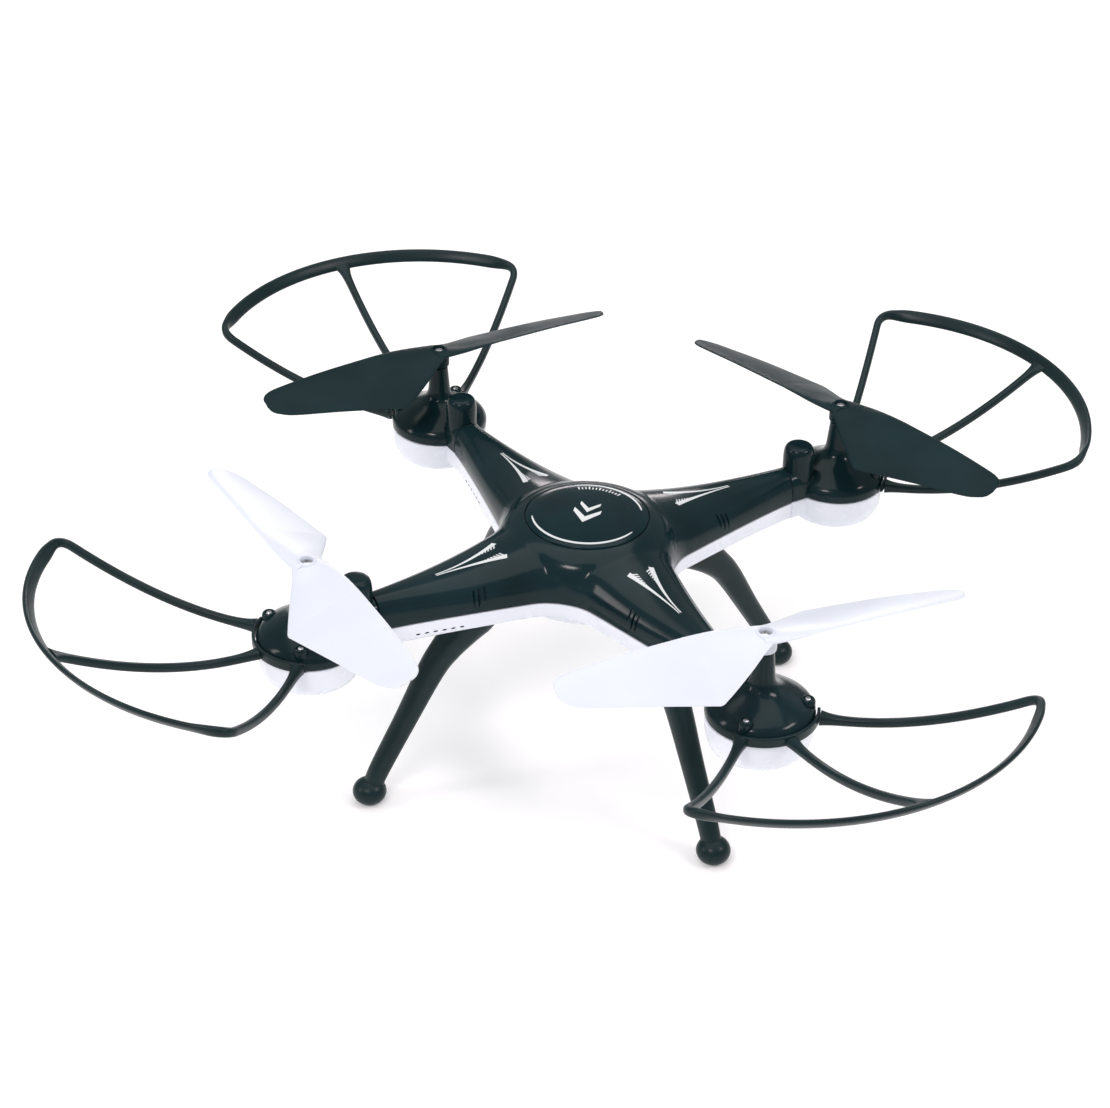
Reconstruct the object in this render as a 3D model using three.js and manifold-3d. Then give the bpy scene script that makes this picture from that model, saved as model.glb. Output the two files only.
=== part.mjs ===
// A quadcopter with four geared rotors, propeller guards and curved landing legs.
// Millimetres, +Z up, nose towards -Y, so the craft's own left is +X. The origin is on the ground,
// under the middle of the body.
import * as THREE from 'three';
import { mergeVertices } from 'three/addons/utils/BufferGeometryUtils.js';
import Module from 'manifold-3d';

const wasm = await Module();
wasm.setup();

// ---- driving dimensions -------------------------------------------------------------------

const HALF_SPAN = 72.5; // rotor axes at (+-HALF_SPAN, +-HALF_SPAN)
const ARM_REACH = HALF_SPAN * Math.SQRT2; // body centre to a rotor axis
const CORNERS = [
  { tag: 'fr', azimuth: -135, guardTurn: 1.6, spin: 1, bladeAzimuth: -45.4 },
  { tag: 'fl', azimuth: -45, guardTurn: -3.3, spin: -1, bladeAzimuth: 218 },
  { tag: 'rl', azimuth: 45, guardTurn: -3.2, spin: 1, bladeAzimuth: -33 },
  { tag: 'rr', azimuth: 135, guardTurn: -2.9, spin: -1, bladeAzimuth: 226 },
];

const GAP = 0.3; // between pieces that touch
const WALL = 1.4; // moulded shell thickness
const WELD = 1e-4; // vertices closer than this are one

// Body shells: an X in plan, split at SPLIT_Z.
const SPLIT_Z = 71;
const TIP = 80; // arm end, from the body's centre
const ARM = { halfWidth: 6, flare: 10.5, flareLength: 50, flarePower: 1.15 };
const FILLET = { start: 30, length: 8.4, rise: 3.05 };
const VALLEY = 21.6; // where two neighbouring arms' edges meet, measured along either arm
const CREST = { arm: 10.2, rise: 6.6, middle: 30, spread: 9, edge: 2.4, fullness: 2.4 };
const KEEL = { arm: 7.5, edge: 4.2, fullness: 4 };
const DOME = { radius: 30.8, height: 16.4, fullness: 7 };
const CANOPY = { radius: 20.5, floorZ: 86.2, rimZ: 87.2, topZ: 88.6 };
const CEILING_Z = 84.8; // highest point of the hollow under the canopy
const RING_SCALES = [1, 0.93, 0.78, 0.5, 0.15]; // rings of points over an X-shaped surface

// Belly tub, battery bay and its door.
const BELLY_Z = 59.7;
const TUB = [[0, BELLY_Z], [23.5, BELLY_Z], [25.5, 60.4], [27, 62.5], [28, 66], [28, 68], [0, 68]];
const TUB_INSIDE = [
  [0, 61.1], [22.6, 61.1], [24.2, 61.8], [25.6, 63.8], [26.5, 66], [26.5, 69], [0, 69],
];
const BAY = { x: 24, y: 40, roofZ: 68.5, roof: 1.3 };
const BATTERY = { x: 20, y: 36, z: 6, floorZ: 61.9 };
const DOOR = { lowX: -11.6, highX: 11.7, y: 39.4, thick: 1.5 };
const HINGE = { x: -11.3, z: BELLY_Z + 0.5, radius: 0.8, length: 14 };
const BOARD = { x: 34, y: 28, z: 1.6, floorZ: 73, post: 2.4, postX: 14.5, postY: 11.5 };
const SWITCH = { x: 19.5, wide: 4.6, long: 9, tall: 4, knobWide: 1.6, knobLong: 2.4, travel: 2.6 };

// Rotor gearbox pod, in a corner's own frame: origin on the rotor axis, +X away from the body.
const POD = { rim: 17.1, rimZ: 71.4, bore: 2.3, topZ: 94.8, sides: 16 };
const POD_OUTSIDE = [
  [0, POD.rimZ], [POD.rim, POD.rimZ], [POD.rim, 74], [15.9, 76], [12, 78.6],
  [6.6, 81.2], [4.1, 83.8], [3.1, POD.topZ], [0, POD.topZ],
];
const POD_INSIDE = [
  [0, 70], [15.7, 70], [15.7, 73], [5.5, 79.2], [POD.bore, 80.4], [POD.bore, 96], [0, 96],
];
const LUG = { radius: 2.6, reach: 14.3, azimuth: 53, topZ: 78.7 }; // screw lugs on the dome
const CUP_OUTSIDE = [[0, 58.5], [11, 58.5], [14.6, 60], [16.5, 63.5], [17, 71], [0, 71]];
const CUP_INSIDE = [[0, 60], [11.3, 60], [13.8, 61.2], [15.2, 64], [15.7, 72], [0, 72]];
const BOSS = { radius: 3.8, lowZ: 59.5, seatZ: 63.2, topZ: 65.9 }; // holds the lower bush
const NECK = {
  from: -22.2, to: -12, halfWidth: 5.9, topZ: 81.2, podTopZ: 79, lowZ: 63.9, wall: 2.4, fullness: 0.7,
};
const GEAR = {
  module: 0.6, mainTeeth: 46, pinionTeeth: 9, addendum: 0.45, dedendum: 0.7, z: 66.5, thick: 3,
  rootShare: 0.31, tipShare: 0.12, // half widths of a tooth, as shares of the tooth pitch
};
const MOTOR_X = -GEAR.module * (GEAR.mainTeeth + GEAR.pinionTeeth) / 2;
const PINION_ROOM = { radius: 4.2, lowZ: GEAR.z - 1 };
const MOTOR = { radius: 4, lowZ: 72.2, topZ: 88.3, shaft: 0.5, shaftTopZ: 74.4, bore: 0.6 };
const SLEEVE = { inside: 4.3, outside: 5.4, roofZ: 88.8, topZ: 90 };
const SHAFT = { radius: 1, lowZ: 63.8, topZ: 98.2 };
const BUSH = { inside: 1.06, outside: 2, upperZ: [90, 94.3], lowerZ: [63.5, 65.8] };
const LEAD = { radius: 0.8, z: 73.6, sides: 6, slotHalfWidth: 1.5, slotTopZ: 75.2 };

// Propeller.
const HUB = { radius: 4, lowZ: 95.4, topZ: 102, bore: 1.3, boreTopZ: 98.5 };
const SCREW = { head: 1.8, shank: 0.7, headZ: 100.5, topZ: 101.4, lowZ: 98.6 };
// Blade stations: distance out, leading edge (back, up), trailing edge (back, up), thickness.
const BLADE = [
  [1.5, -4.2, 99.6, 6, 97.4, 4.6],
  [8, -6.2, 101, 9.6, 96.4, 3.2],
  [15, -6.7, 101.5, 13.6, 94.7, 2.2],
  [23, -6.7, 101.7, 17.7, 92.4, 1.6],
  [45, -6.2, 101.3, 12.4, 94.4, 1.4],
  [61, -5.4, 100.5, 8, 95.2, 1.2],
  [66.5, -4.2, 99.8, 5.4, 95.9, 1],
  [69, -1.6, 98.8, 2.2, 97.4, 0.8],
];
const CAMBER = { lead: 0.5, trail: 0.3 }; // arch of a blade's section before and behind its middle

// Propeller guard.
const GUARD = {
  arcCentre: 9.1, arcRadius: 77.4, corner: 51.6, cornerCut: 3.8, midZ: 97.1, cornerZ: 95.3,
  rootRadius: 18.6, rootAzimuth: 50, rootZ: 72.9, sag: 1.8, lean: 35,
};
const RAIL = { across: 1.05, up: 2.5 }; // half sizes of the ring's band
const SPOKE = { across: 1.4, up: 1.4 }; // half sizes of a spoke
const BAND = { inside: POD.rim + GAP, outside: 18.9, lowZ: 71.6, topZ: 75, halfAngle: 58 };

// Landing leg stations: distance from the body's centre, height, half depth, half width.
const LEG = [
  [41, 62.9, 9, 5.4], [46.4, 58, 6.5, 5], [53.3, 52, 5.2, 4.5], [59, 45.2, 4.5, 4.1],
  [68.6, 29, 3.7, 3.6], [79, 11.6, 3.3, 3.3], [82.2, 4.6, 3.1, 3.1],
];
const FOOT = [[0, 0], [3.4, 0], [5.2, 1.6], [5.9, 3.9], [5, 6.4], [2.8, 8], [0, 8.3]];
const FOOT_X = 83;

// ---- materials ----------------------------------------------------------------------------

const material = (color, roughness, metalness = 0) =>
  new THREE.MeshStandardMaterial({ color, roughness, metalness });
const glossBlack = () => material(0x1f3134, 0.25);
const glossWhite = () => material(0xe9eef8, 0.3);
const nylon = () => material(0xe4e2d8, 0.5);
const steel = () => material(0xb8babd, 0.3, 1);
const brass = () => material(0xc8a050, 0.35, 1);

// ---- geometry helpers ---------------------------------------------------------------------

// A solid from a closed geometry, with its faces turned outwards.
function solid(geometry) {
  const bare = geometry.clone();
  bare.deleteAttribute('normal');
  bare.deleteAttribute('uv');
  const welded = mergeVertices(bare, WELD);
  const corners = welded.index.array;
  const triangles = [];
  for (let i = 0; i < corners.length; i += 3) {
    const [a, b, c] = [corners[i], corners[i + 1], corners[i + 2]];
    if (a !== b && b !== c && c !== a) triangles.push([a, b, c]);
  }
  const build = (list) => new wasm.Manifold(new wasm.Mesh({
    numProp: 3,
    vertProperties: Float32Array.from(welded.attributes.position.array),
    triVerts: Uint32Array.from(list.flat()),
  }));
  const asGiven = build(triangles);
  return asGiven.volume() > 0 ? asGiven : build(triangles.map(([a, b, c]) => [a, c, b]));
}

// The solid's surface as a three.js geometry.
function surface(body) {
  const mesh = body.getMesh();
  const geometry = new THREE.BufferGeometry();
  geometry.setAttribute('position', new THREE.Float32BufferAttribute(mesh.vertProperties, 3));
  geometry.setIndex(new THREE.Uint32BufferAttribute(mesh.triVerts, 1));
  geometry.computeVertexNormals();
  return geometry;
}

const union = (first, ...rest) => rest.reduce((sum, next) => sum.add(next), first);
const without = (first, ...rest) => rest.reduce((left, next) => left.subtract(next), first);

// A body of revolution about Z; the profile is [radius, height] points.
function turned(profile, sides, x = 0, y = 0) {
  const points = profile.map(([radius, z]) => new THREE.Vector2(radius, z));
  const geometry = new THREE.LatheGeometry(points, sides);
  geometry.rotateX(Math.PI / 2);
  geometry.translate(x, y, 0);
  return solid(geometry);
}

const rod = (radius, lowZ, topZ, sides, x = 0, y = 0) =>
  turned([[0, lowZ], [radius, lowZ], [radius, topZ], [0, topZ]], sides, x, y);

const pipe = (inside, outside, lowZ, topZ, sides) =>
  turned([[inside, lowZ], [outside, lowZ], [outside, topZ], [inside, topZ], [inside, lowZ]], sides);

// A box between two corners.
function block(low, high) {
  const size = high.map((value, i) => value - low[i]);
  const geometry = new THREE.BoxGeometry(...size);
  geometry.translate(...low.map((value, i) => value + size[i] / 2));
  return solid(geometry);
}

const middleOf = (ring) =>
  ring.reduce((sum, point) => sum.add(point), new THREE.Vector3()).divideScalar(ring.length);

// A closed body through rings of equal count, each end closed round its middle.
function loft(rings) {
  const count = rings[0].length;
  const points = rings.flat();
  const triangles = [];
  for (let i = 0; i + 1 < rings.length; i += 1) {
    for (let j = 0; j < count; j += 1) {
      const [a, b] = [i * count + j, i * count + (j + 1) % count];
      triangles.push(a, b, b + count, a, b + count, a + count);
    }
  }
  const last = (rings.length - 1) * count;
  for (let j = 0; j < count; j += 1) {
    const next = (j + 1) % count;
    triangles.push(points.length, next, j, points.length + 1, last + j, last + next);
  }
  points.push(middleOf(rings[0]), middleOf(rings.at(-1)));
  const geometry = new THREE.BufferGeometry().setFromPoints(points);
  geometry.setIndex(triangles);
  return solid(geometry);
}

// An oval section with half sizes across and up, round a point of a path.
function oval(at, side, up, across, high, count) {
  return Array.from({ length: count }, (_, k) => {
    const angle = (k + 0.5) * 2 * Math.PI / count;
    return at.clone()
      .addScaledVector(side, across * Math.cos(angle))
      .addScaledVector(up, high * Math.sin(angle));
  });
}

// A bar along a path; sizeAt(t) gives half sizes and lean, for t from 0 to 1.
function bar(points, steps, sides, sizeAt) {
  const curve = new THREE.CatmullRomCurve3(points, false, 'centripetal');
  const rings = Array.from({ length: steps + 1 }, (_, i) => {
    const t = i / steps;
    const { across, up, lean } = sizeAt(t);
    const tangent = curve.getTangentAt(t);
    const side = new THREE.Vector3().crossVectors(tangent, new THREE.Vector3(0, 0, 1)).normalize();
    const high = new THREE.Vector3().crossVectors(side, tangent);
    side.applyAxisAngle(tangent, lean);
    high.applyAxisAngle(tangent, lean);
    return oval(curve.getPointAt(t), side, high, across, up, sides);
  });
  return loft(rings);
}

const radians = THREE.MathUtils.degToRad;
const polar = (radius, azimuth, z) =>
  new THREE.Vector3(radius * Math.cos(azimuth), radius * Math.sin(azimuth), z);

// ---- body shells --------------------------------------------------------------------------

// Half width of an arm at a distance along it.
function armHalfWidth(along) {
  const flare = ARM.flare * ((TIP - along) / ARM.flareLength) ** ARM.flarePower;
  const fillet = FILLET.rise * (Math.max(0, FILLET.start - along) / FILLET.length) ** 2;
  return ARM.halfWidth + flare + fillet;
}

// The unit normal on the right of the way from one point in plan to another.
function outward(from, to) {
  const way = to.clone().sub(from).normalize();
  return new THREE.Vector2(way.y, -way.x);
}

// The body's outline in plan, anticlockwise: an X, drawn in by inset all round.
function bodyOutline(inset) {
  const side = [VALLEY, 25, 31, 42, 60, TIP].map((along) => [along, armHalfWidth(along)]);
  const arm = [
    ...side.map(([along, across]) => [along, -across]), [TIP, 0], ...side.slice(1).reverse(),
  ];
  const whole = CORNERS.flatMap(({ azimuth }) => arm.map(([along, across]) =>
    new THREE.Vector2(along, across).rotateAround(new THREE.Vector2(), radians(azimuth))));
  return whole.map((point, i) => {
    const before = outward(whole.at(i - 1), point);
    const after = outward(point, whole[(i + 1) % whole.length]);
    const mitre = before.clone().add(after).divideScalar(1 + before.dot(after));
    return point.clone().addScaledVector(mitre, -inset);
  });
}

// A place in plan as distances along and across the nearest arm.
const alongArm = (x, y) => (Math.abs(x) + Math.abs(y)) / Math.SQRT2;
const acrossArm = (x, y) => Math.abs(Math.abs(x) - Math.abs(y)) / Math.SQRT2;

// Share of an arm's half width at a place, 0 on its spine and 1 at its edge.
const edgeShare = (x, y, inset) =>
  Math.min(1, acrossArm(x, y) / (armHalfWidth(alongArm(x, y)) - inset));

// Height of the roof at a place, and depth of the keel, both from the split.
function roofHeight(x, y, inset) {
  const beyond = (alongArm(x, y) - CREST.middle) / CREST.spread;
  const crest = CREST.arm + CREST.rise / (1 + Math.exp(beyond));
  const round = Math.sqrt(1 - edgeShare(x, y, inset) ** CREST.fullness);
  const arm = CREST.edge + (crest - CREST.edge) * round;
  const share = Math.min(1, Math.hypot(x, y) / (DOME.radius - inset));
  return Math.max(arm, DOME.height * Math.sqrt(1 - share ** DOME.fullness)) - inset;
}

function keelDepth(x, y, inset) {
  const round = Math.sqrt(1 - edgeShare(x, y, inset) ** KEEL.fullness);
  return KEEL.edge + (KEEL.arm - KEEL.edge) * round - inset;
}

// An X-shaped body from a flat face at baseZ to the surface that height() gives, up or down.
// A hollow is drawn in by inset, starts beyond the flat face and goes no further than highest.
function xBody(baseZ, direction, height, inset = 0, highest = Infinity) {
  const outline = bodyOutline(inset);
  const foot = outline.map(({ x, y }) => new THREE.Vector3(x, y, baseZ - Math.sign(inset) * direction));
  const rings = RING_SCALES.map((scale) => outline.map((point) => {
    const { x, y } = point.clone().multiplyScalar(scale);
    return new THREE.Vector3(x, y, baseZ + direction * Math.min(highest, height(x, y, inset)));
  }));
  return loft([foot, ...rings]);
}

// Slots in the arm ends' walls, which the motor leads run through.
function leadSlots(lowZ, topZ) {
  return CORNERS.map(({ azimuth }) => {
    const half = LEAD.slotHalfWidth;
    const slot = block([TIP - 6, -half, lowZ], [TIP + 1, half, topZ]);
    return slot.rotate([0, 0, azimuth]);
  });
}

function upperShell() {
  const base = SPLIT_Z + GAP / 2;
  const hollow = xBody(base, 1, roofHeight, WALL, CEILING_Z - base);
  const seat = rod(CANOPY.radius + GAP, CANOPY.floorZ, CANOPY.topZ + 2, 28);
  return without(xBody(base, 1, roofHeight), hollow, seat, ...leadSlots(base - 1, LEAD.slotTopZ));
}

// The battery bay's walls and roof, and the posts that carry the circuit board.
function lowerShellInsides() {
  const [halfX, halfY] = [BAY.x / 2 + WALL, BAY.y / 2 + WALL];
  const bay = block([-halfX, -halfY, BELLY_Z + 1], [halfX, halfY, BAY.roofZ + BAY.roof]);
  const posts = [-1, 1].flatMap((sideX) => [-1, 1].map((sideY) =>
    rod(BOARD.post, BAY.roofZ, BOARD.floorZ - GAP, 8, sideX * BOARD.postX, sideY * BOARD.postY)));
  const rails = [-1, 1].map((sideX) => {
    const x = sideX * BOARD.postX;
    return block([x - BOARD.post, -halfY, BAY.roofZ], [x + BOARD.post, halfY, BAY.roofZ + BAY.roof]);
  });
  return union(bay, ...posts, ...rails);
}

function lowerShell() {
  const base = SPLIT_Z - GAP / 2;
  const outside = union(xBody(base, -1, keelDepth), turned(TUB, 24));
  const shell = without(outside, xBody(base, -1, keelDepth, WALL), turned(TUB_INSIDE, 20));
  const bayHollow = block([-BAY.x / 2, -BAY.y / 2, BELLY_Z - 1], [BAY.x / 2, BAY.y / 2, BAY.roofZ]);
  const room = HINGE.radius + GAP;
  const hingeRoom = block(
    [HINGE.x - room, -HINGE.length / 2 - GAP, BELLY_Z - 1],
    [HINGE.x, HINGE.length / 2 + GAP, HINGE.z + room],
  );
  const slotWide = SWITCH.knobWide / 2 + GAP;
  const slotLong = SWITCH.knobLong / 2 + SWITCH.travel / 2 + GAP;
  const switchSlot = block(
    [SWITCH.x - slotWide, -slotLong, BELLY_Z - 1],
    [SWITCH.x + slotWide, slotLong, BELLY_Z + WALL + 1],
  );
  return without(union(shell, lowerShellInsides()), bayHollow, hingeRoom, switchSlot);
}

function canopyPlate() {
  const low = CANOPY.floorZ + GAP;
  const { radius, rimZ, topZ } = CANOPY;
  return turned(
    [[0, low], [radius, low], [radius, rimZ], [radius * 0.8, 88], [radius * 0.45, 88.4], [0, topZ]],
    28,
  );
}

function batteryDoor() {
  const plate = block(
    [DOOR.lowX, -DOOR.y / 2, BELLY_Z],
    [DOOR.highX, DOOR.y / 2, BELLY_Z + DOOR.thick],
  );
  const knuckle = new THREE.CylinderGeometry(HINGE.radius, HINGE.radius, HINGE.length, 12);
  knuckle.translate(HINGE.x, 0, HINGE.z);
  return union(plate, solid(knuckle));
}

const battery = () => block(
  [-BATTERY.x / 2, -BATTERY.y / 2, BATTERY.floorZ],
  [BATTERY.x / 2, BATTERY.y / 2, BATTERY.floorZ + BATTERY.z],
);

const circuitBoard = () => block(
  [-BOARD.x / 2, -BOARD.y / 2, BOARD.floorZ],
  [BOARD.x / 2, BOARD.y / 2, BOARD.floorZ + BOARD.z],
);

const switchBody = () => block(
  [SWITCH.x - SWITCH.wide / 2, -SWITCH.long / 2, BELLY_Z + WALL + GAP],
  [SWITCH.x + SWITCH.wide / 2, SWITCH.long / 2, BELLY_Z + WALL + GAP + SWITCH.tall],
);

function switchKnob() {
  const centre = -SWITCH.travel / 2;
  return block(
    [SWITCH.x - SWITCH.knobWide / 2, centre - SWITCH.knobLong / 2, BELLY_Z - 0.8],
    [SWITCH.x + SWITCH.knobWide / 2, centre + SWITCH.knobLong / 2, BELLY_Z + WALL],
  );
}

// ---- landing leg --------------------------------------------------------------------------

// In an arm's frame: origin under the body's centre, +X along the arm.
function leg() {
  const middle = (i) => new THREE.Vector3(LEG[i][0], 0, LEG[i][1]);
  const rings = LEG.map(([, , deep, wide], i) => {
    const before = middle(Math.max(0, i - 1));
    const after = middle(Math.min(LEG.length - 1, i + 1));
    const tangent = i === 0 ? new THREE.Vector3(0, 0, -1) : after.sub(before).normalize();
    const side = new THREE.Vector3(0, 1, 0);
    return oval(middle(i), side, new THREE.Vector3().crossVectors(tangent, side), wide, deep, 8);
  });
  return union(loft(rings), turned(FOOT, 12, FOOT_X));
}

// ---- gearbox pod --------------------------------------------------------------------------

// An arched section across X: flat at its bottom, upright up to springZ, then crowned.
function arch(x, halfWidth, lowZ, topZ) {
  const springZ = lowZ + NECK.wall;
  const crown = Array.from({ length: 7 }, (_, k) => {
    const angle = k * Math.PI / 6;
    const rise = Math.sin(angle) ** NECK.fullness;
    return new THREE.Vector3(x, halfWidth * Math.cos(angle), springZ + (topZ - springZ) * rise);
  });
  const foot = [new THREE.Vector3(x, -halfWidth, lowZ), new THREE.Vector3(x, halfWidth, lowZ)];
  return [...crown, ...foot];
}

function motorMount() {
  const neck = loft([
    arch(NECK.from, NECK.halfWidth, POD.rimZ, NECK.topZ),
    arch(NECK.to, NECK.halfWidth, POD.rimZ, NECK.podTopZ),
  ]);
  const { outside, inside, roofZ, topZ } = SLEEVE;
  const sleeve = turned(
    [[0, POD.rimZ], [outside, POD.rimZ], [outside, 87.8], [4.8, 89.3], [3.2, topZ], [0, topZ]],
    14,
    MOTOR_X,
  );
  const motorBore = rod(inside, POD.rimZ - 1, roofZ, 14, MOTOR_X);
  const leadRoom = block(
    [NECK.from - 1, -LEAD.slotHalfWidth, POD.rimZ - 1],
    [MOTOR_X, LEAD.slotHalfWidth, LEAD.slotTopZ],
  );
  const whole = union(turned(POD_OUTSIDE, POD.sides), neck, sleeve, ...screwLugs());
  return without(whole, turned(POD_INSIDE, POD.sides), motorBore, leadRoom);
}

// Round lugs on the dome's shoulders, over the guard's screws.
function screwLugs() {
  const { radius, reach, azimuth, topZ } = LUG;
  const profile = [
    [0, POD.rimZ], [radius, POD.rimZ], [radius, topZ - 1.2], [radius - 0.9, topZ - 0.3], [0, topZ],
  ];
  return [-azimuth, azimuth].map((turn) => {
    const at = polar(reach, radians(turn), 0);
    return turned(profile, 8, at.x, at.y);
  });
}

function gearCover() {
  const neck = block(
    [NECK.from, -NECK.halfWidth + GAP, NECK.lowZ],
    [NECK.to, NECK.halfWidth - GAP, SPLIT_Z],
  );
  const pocket = rod(PINION_ROOM.radius, PINION_ROOM.lowZ, SPLIT_Z + 1, 12, MOTOR_X);
  const outside = union(turned(CUP_OUTSIDE, POD.sides), neck);
  const cup = without(outside, turned(CUP_INSIDE, POD.sides), pocket);
  const boss = rod(BOSS.radius, BOSS.lowZ, BOSS.topZ, 12);
  const seat = rod(POD.bore, BOSS.seatZ, BOSS.topZ + 1, 12);
  return without(union(cup, boss), seat);
}

// A spur gear with straight-flanked teeth; phase turns it, in teeth.
function gear(teeth, phase, boreRadius, boreSides) {
  const pitchRadius = GEAR.module * teeth / 2;
  const [root, tip] = [pitchRadius - GEAR.dedendum, pitchRadius + GEAR.addendum];
  const { rootShare, tipShare } = GEAR;
  const flank = [[root, -rootShare], [tip, -tipShare], [tip, tipShare], [root, rootShare]];
  const outline = Array.from({ length: teeth }, (_, k) => flank.map(([radius, offset]) => {
    const angle = (k + phase + offset) * 2 * Math.PI / teeth;
    return new THREE.Vector2(radius * Math.cos(angle), radius * Math.sin(angle));
  })).flat();
  const shape = new THREE.Shape(outline);
  if (boreRadius > 0) {
    const rim = Array.from({ length: boreSides }, (_, k) => {
      const angle = -k * 2 * Math.PI / boreSides;
      return new THREE.Vector2(boreRadius * Math.cos(angle), boreRadius * Math.sin(angle));
    });
    shape.holes.push(new THREE.Path(rim));
  }
  const geometry = new THREE.ExtrudeGeometry(shape, { depth: GEAR.thick, bevelEnabled: false });
  geometry.translate(0, 0, GEAR.z);
  return solid(geometry);
}

const mainGear = () => gear(GEAR.mainTeeth, 0.5, SHAFT.radius + GAP, 12);

function pinion() {
  const shaft = rod(MOTOR.shaft, GEAR.z + GEAR.thick - 0.5, MOTOR.shaftTopZ, 8);
  return union(gear(GEAR.pinionTeeth, 0, 0, 0), shaft).translate([MOTOR_X, 0, 0]);
}

function motor() {
  const { radius, lowZ, topZ, bore, shaftTopZ } = MOTOR;
  return turned(
    [[bore, lowZ], [radius, lowZ], [radius, topZ - 0.6], [radius - 0.6, topZ], [0, topZ],
      [0, shaftTopZ + GAP], [bore, shaftTopZ + GAP], [bore, lowZ]],
    14,
    MOTOR_X,
  );
}

// The lead of one motor, in an arm's frame, from the motor to the circuit board's edge.
function motorLead() {
  const start = ARM_REACH + MOTOR_X - MOTOR.radius - 0.7;
  const points = [[start, 0], [start - 10, 0], [60, 1.2], [48, -1], [36, 1.4], [26, 0]]
    .map(([x, y]) => new THREE.Vector3(x, y, LEAD.z));
  return bar(points, 9, LEAD.sides, () => ({ across: LEAD.radius, up: LEAD.radius, lean: 0 }));
}

// ---- propeller ----------------------------------------------------------------------------

// One blade's section at a station: six points round a thin, arched strip.
function bladeSection([out, leadBack, leadZ, trailBack, trailZ, thick], spin) {
  const lead = new THREE.Vector3(out, spin * -leadBack, leadZ);
  const trail = new THREE.Vector3(out, spin * -trailBack, trailZ);
  const at = (t, lift) => lead.clone().lerp(trail, t).add(new THREE.Vector3(0, 0, lift));
  const half = thick / 2;
  const above = [at(0.25, CAMBER.lead + half), at(0.7, CAMBER.trail + half)];
  const below = [at(0.7, CAMBER.trail - half), at(0.25, CAMBER.lead - half)];
  return [at(0, 0), ...above, at(1, 0), ...below];
}

function propeller(spin) {
  const blade = loft(BLADE.map((station) => bladeSection(station, spin)));
  const hub = rod(HUB.radius, HUB.lowZ, HUB.topZ, 14);
  const whole = union(hub, blade, blade.rotate([0, 0, 180]));
  const shaftHole = rod(HUB.bore, HUB.lowZ - 1, HUB.boreTopZ, 10);
  const screwHole = rod(SCREW.shank + GAP, HUB.boreTopZ - 1, SCREW.headZ, 8);
  const recess = rod(SCREW.head + GAP, SCREW.headZ - GAP, HUB.topZ + 1, 12);
  return without(whole, shaftHole, screwHole, recess);
}

const propellerScrew = () => turned(
  [[0, SCREW.lowZ], [SCREW.shank, SCREW.lowZ], [SCREW.shank, SCREW.headZ],
    [SCREW.head, SCREW.headZ], [SCREW.head, SCREW.topZ - 0.3], [SCREW.head - 0.4, SCREW.topZ],
    [0, SCREW.topZ]],
  10,
);

// ---- guard --------------------------------------------------------------------------------

function guard() {
  const arcPoint = (angle) => {
    const z = GUARD.midZ - (GUARD.midZ - GUARD.cornerZ) * (angle / radians(GUARD.corner)) ** 2;
    return polar(GUARD.arcRadius, angle, z).add(new THREE.Vector3(GUARD.arcCentre, 0, 0));
  };
  const spokePoint = (root, end, t) => {
    const point = root.clone().lerp(end, t);
    point.z = root.z + (end.z - root.z) * t ** GUARD.sag;
    return point;
  };
  const spokePoints = (side) => {
    const root = polar(GUARD.rootRadius, radians(side * GUARD.rootAzimuth), GUARD.rootZ);
    const corner = arcPoint(radians(side * GUARD.corner));
    return [0, 0.2, 0.4, 0.6, 0.78, 0.93].map((t) => spokePoint(root, corner, t));
  };
  const reach = GUARD.corner - GUARD.cornerCut;
  const arc = Array.from({ length: 13 }, (_, k) => arcPoint(radians(reach * (k / 6 - 1))));
  const loop = [...spokePoints(-1), ...arc, ...spokePoints(1).reverse()];
  const ringShare = 0.29; // the ring lies between this and the mirrored share of the loop
  const frame = bar(loop, 32, 6, (t) => {
    const onRing = THREE.MathUtils.smoothstep(Math.min(t, 1 - t), ringShare - 0.05, ringShare);
    return {
      across: THREE.MathUtils.lerp(SPOKE.across, RAIL.across, onRing),
      up: THREE.MathUtils.lerp(SPOKE.up, RAIL.up, onRing),
      lean: onRing * radians(GUARD.lean),
    };
  });
  const midRoot = polar(GUARD.rootRadius, 0, GUARD.rootZ);
  const midSpoke = [0, 0.25, 0.5, 0.75, 1].map((t) => spokePoint(midRoot, arcPoint(0), t));
  const spoke = bar(midSpoke, 6, 6, () => ({ ...SPOKE, lean: 0 }));
  return union(frame, spoke, rimBand());
}

// The band that hugs the pod's rim.
function rimBand() {
  const shape = new THREE.Shape();
  const half = radians(BAND.halfAngle);
  shape.absarc(0, 0, BAND.outside, -half, half, false);
  shape.absarc(0, 0, BAND.inside, half, -half, true);
  const geometry = new THREE.ExtrudeGeometry(shape, {
    depth: BAND.topZ - BAND.lowZ, bevelEnabled: false, curveSegments: 9,
  });
  geometry.translate(0, 0, BAND.lowZ);
  return solid(geometry);
}

// ---- assembly -----------------------------------------------------------------------------

const drone = new THREE.Group();

function add(parent, name, body, look) {
  const mesh = new THREE.Mesh(surface(body), look());
  mesh.name = name;
  parent.add(mesh);
}

add(drone, 'upper_shell', upperShell(), glossBlack);
add(drone, 'lower_shell', lowerShell(), glossWhite);
add(drone, 'canopy_plate', canopyPlate(), glossBlack);
add(drone, 'battery_door', batteryDoor(), glossWhite);
add(drone, 'battery', battery(), () => material(0x8fb4d8, 0.6));
add(drone, 'circuit_board', circuitBoard(), () => material(0x1d5c3a, 0.6));
add(drone, 'switch_body', switchBody(), steel);
add(drone, 'switch_knob', switchKnob(), glossBlack);

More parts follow.
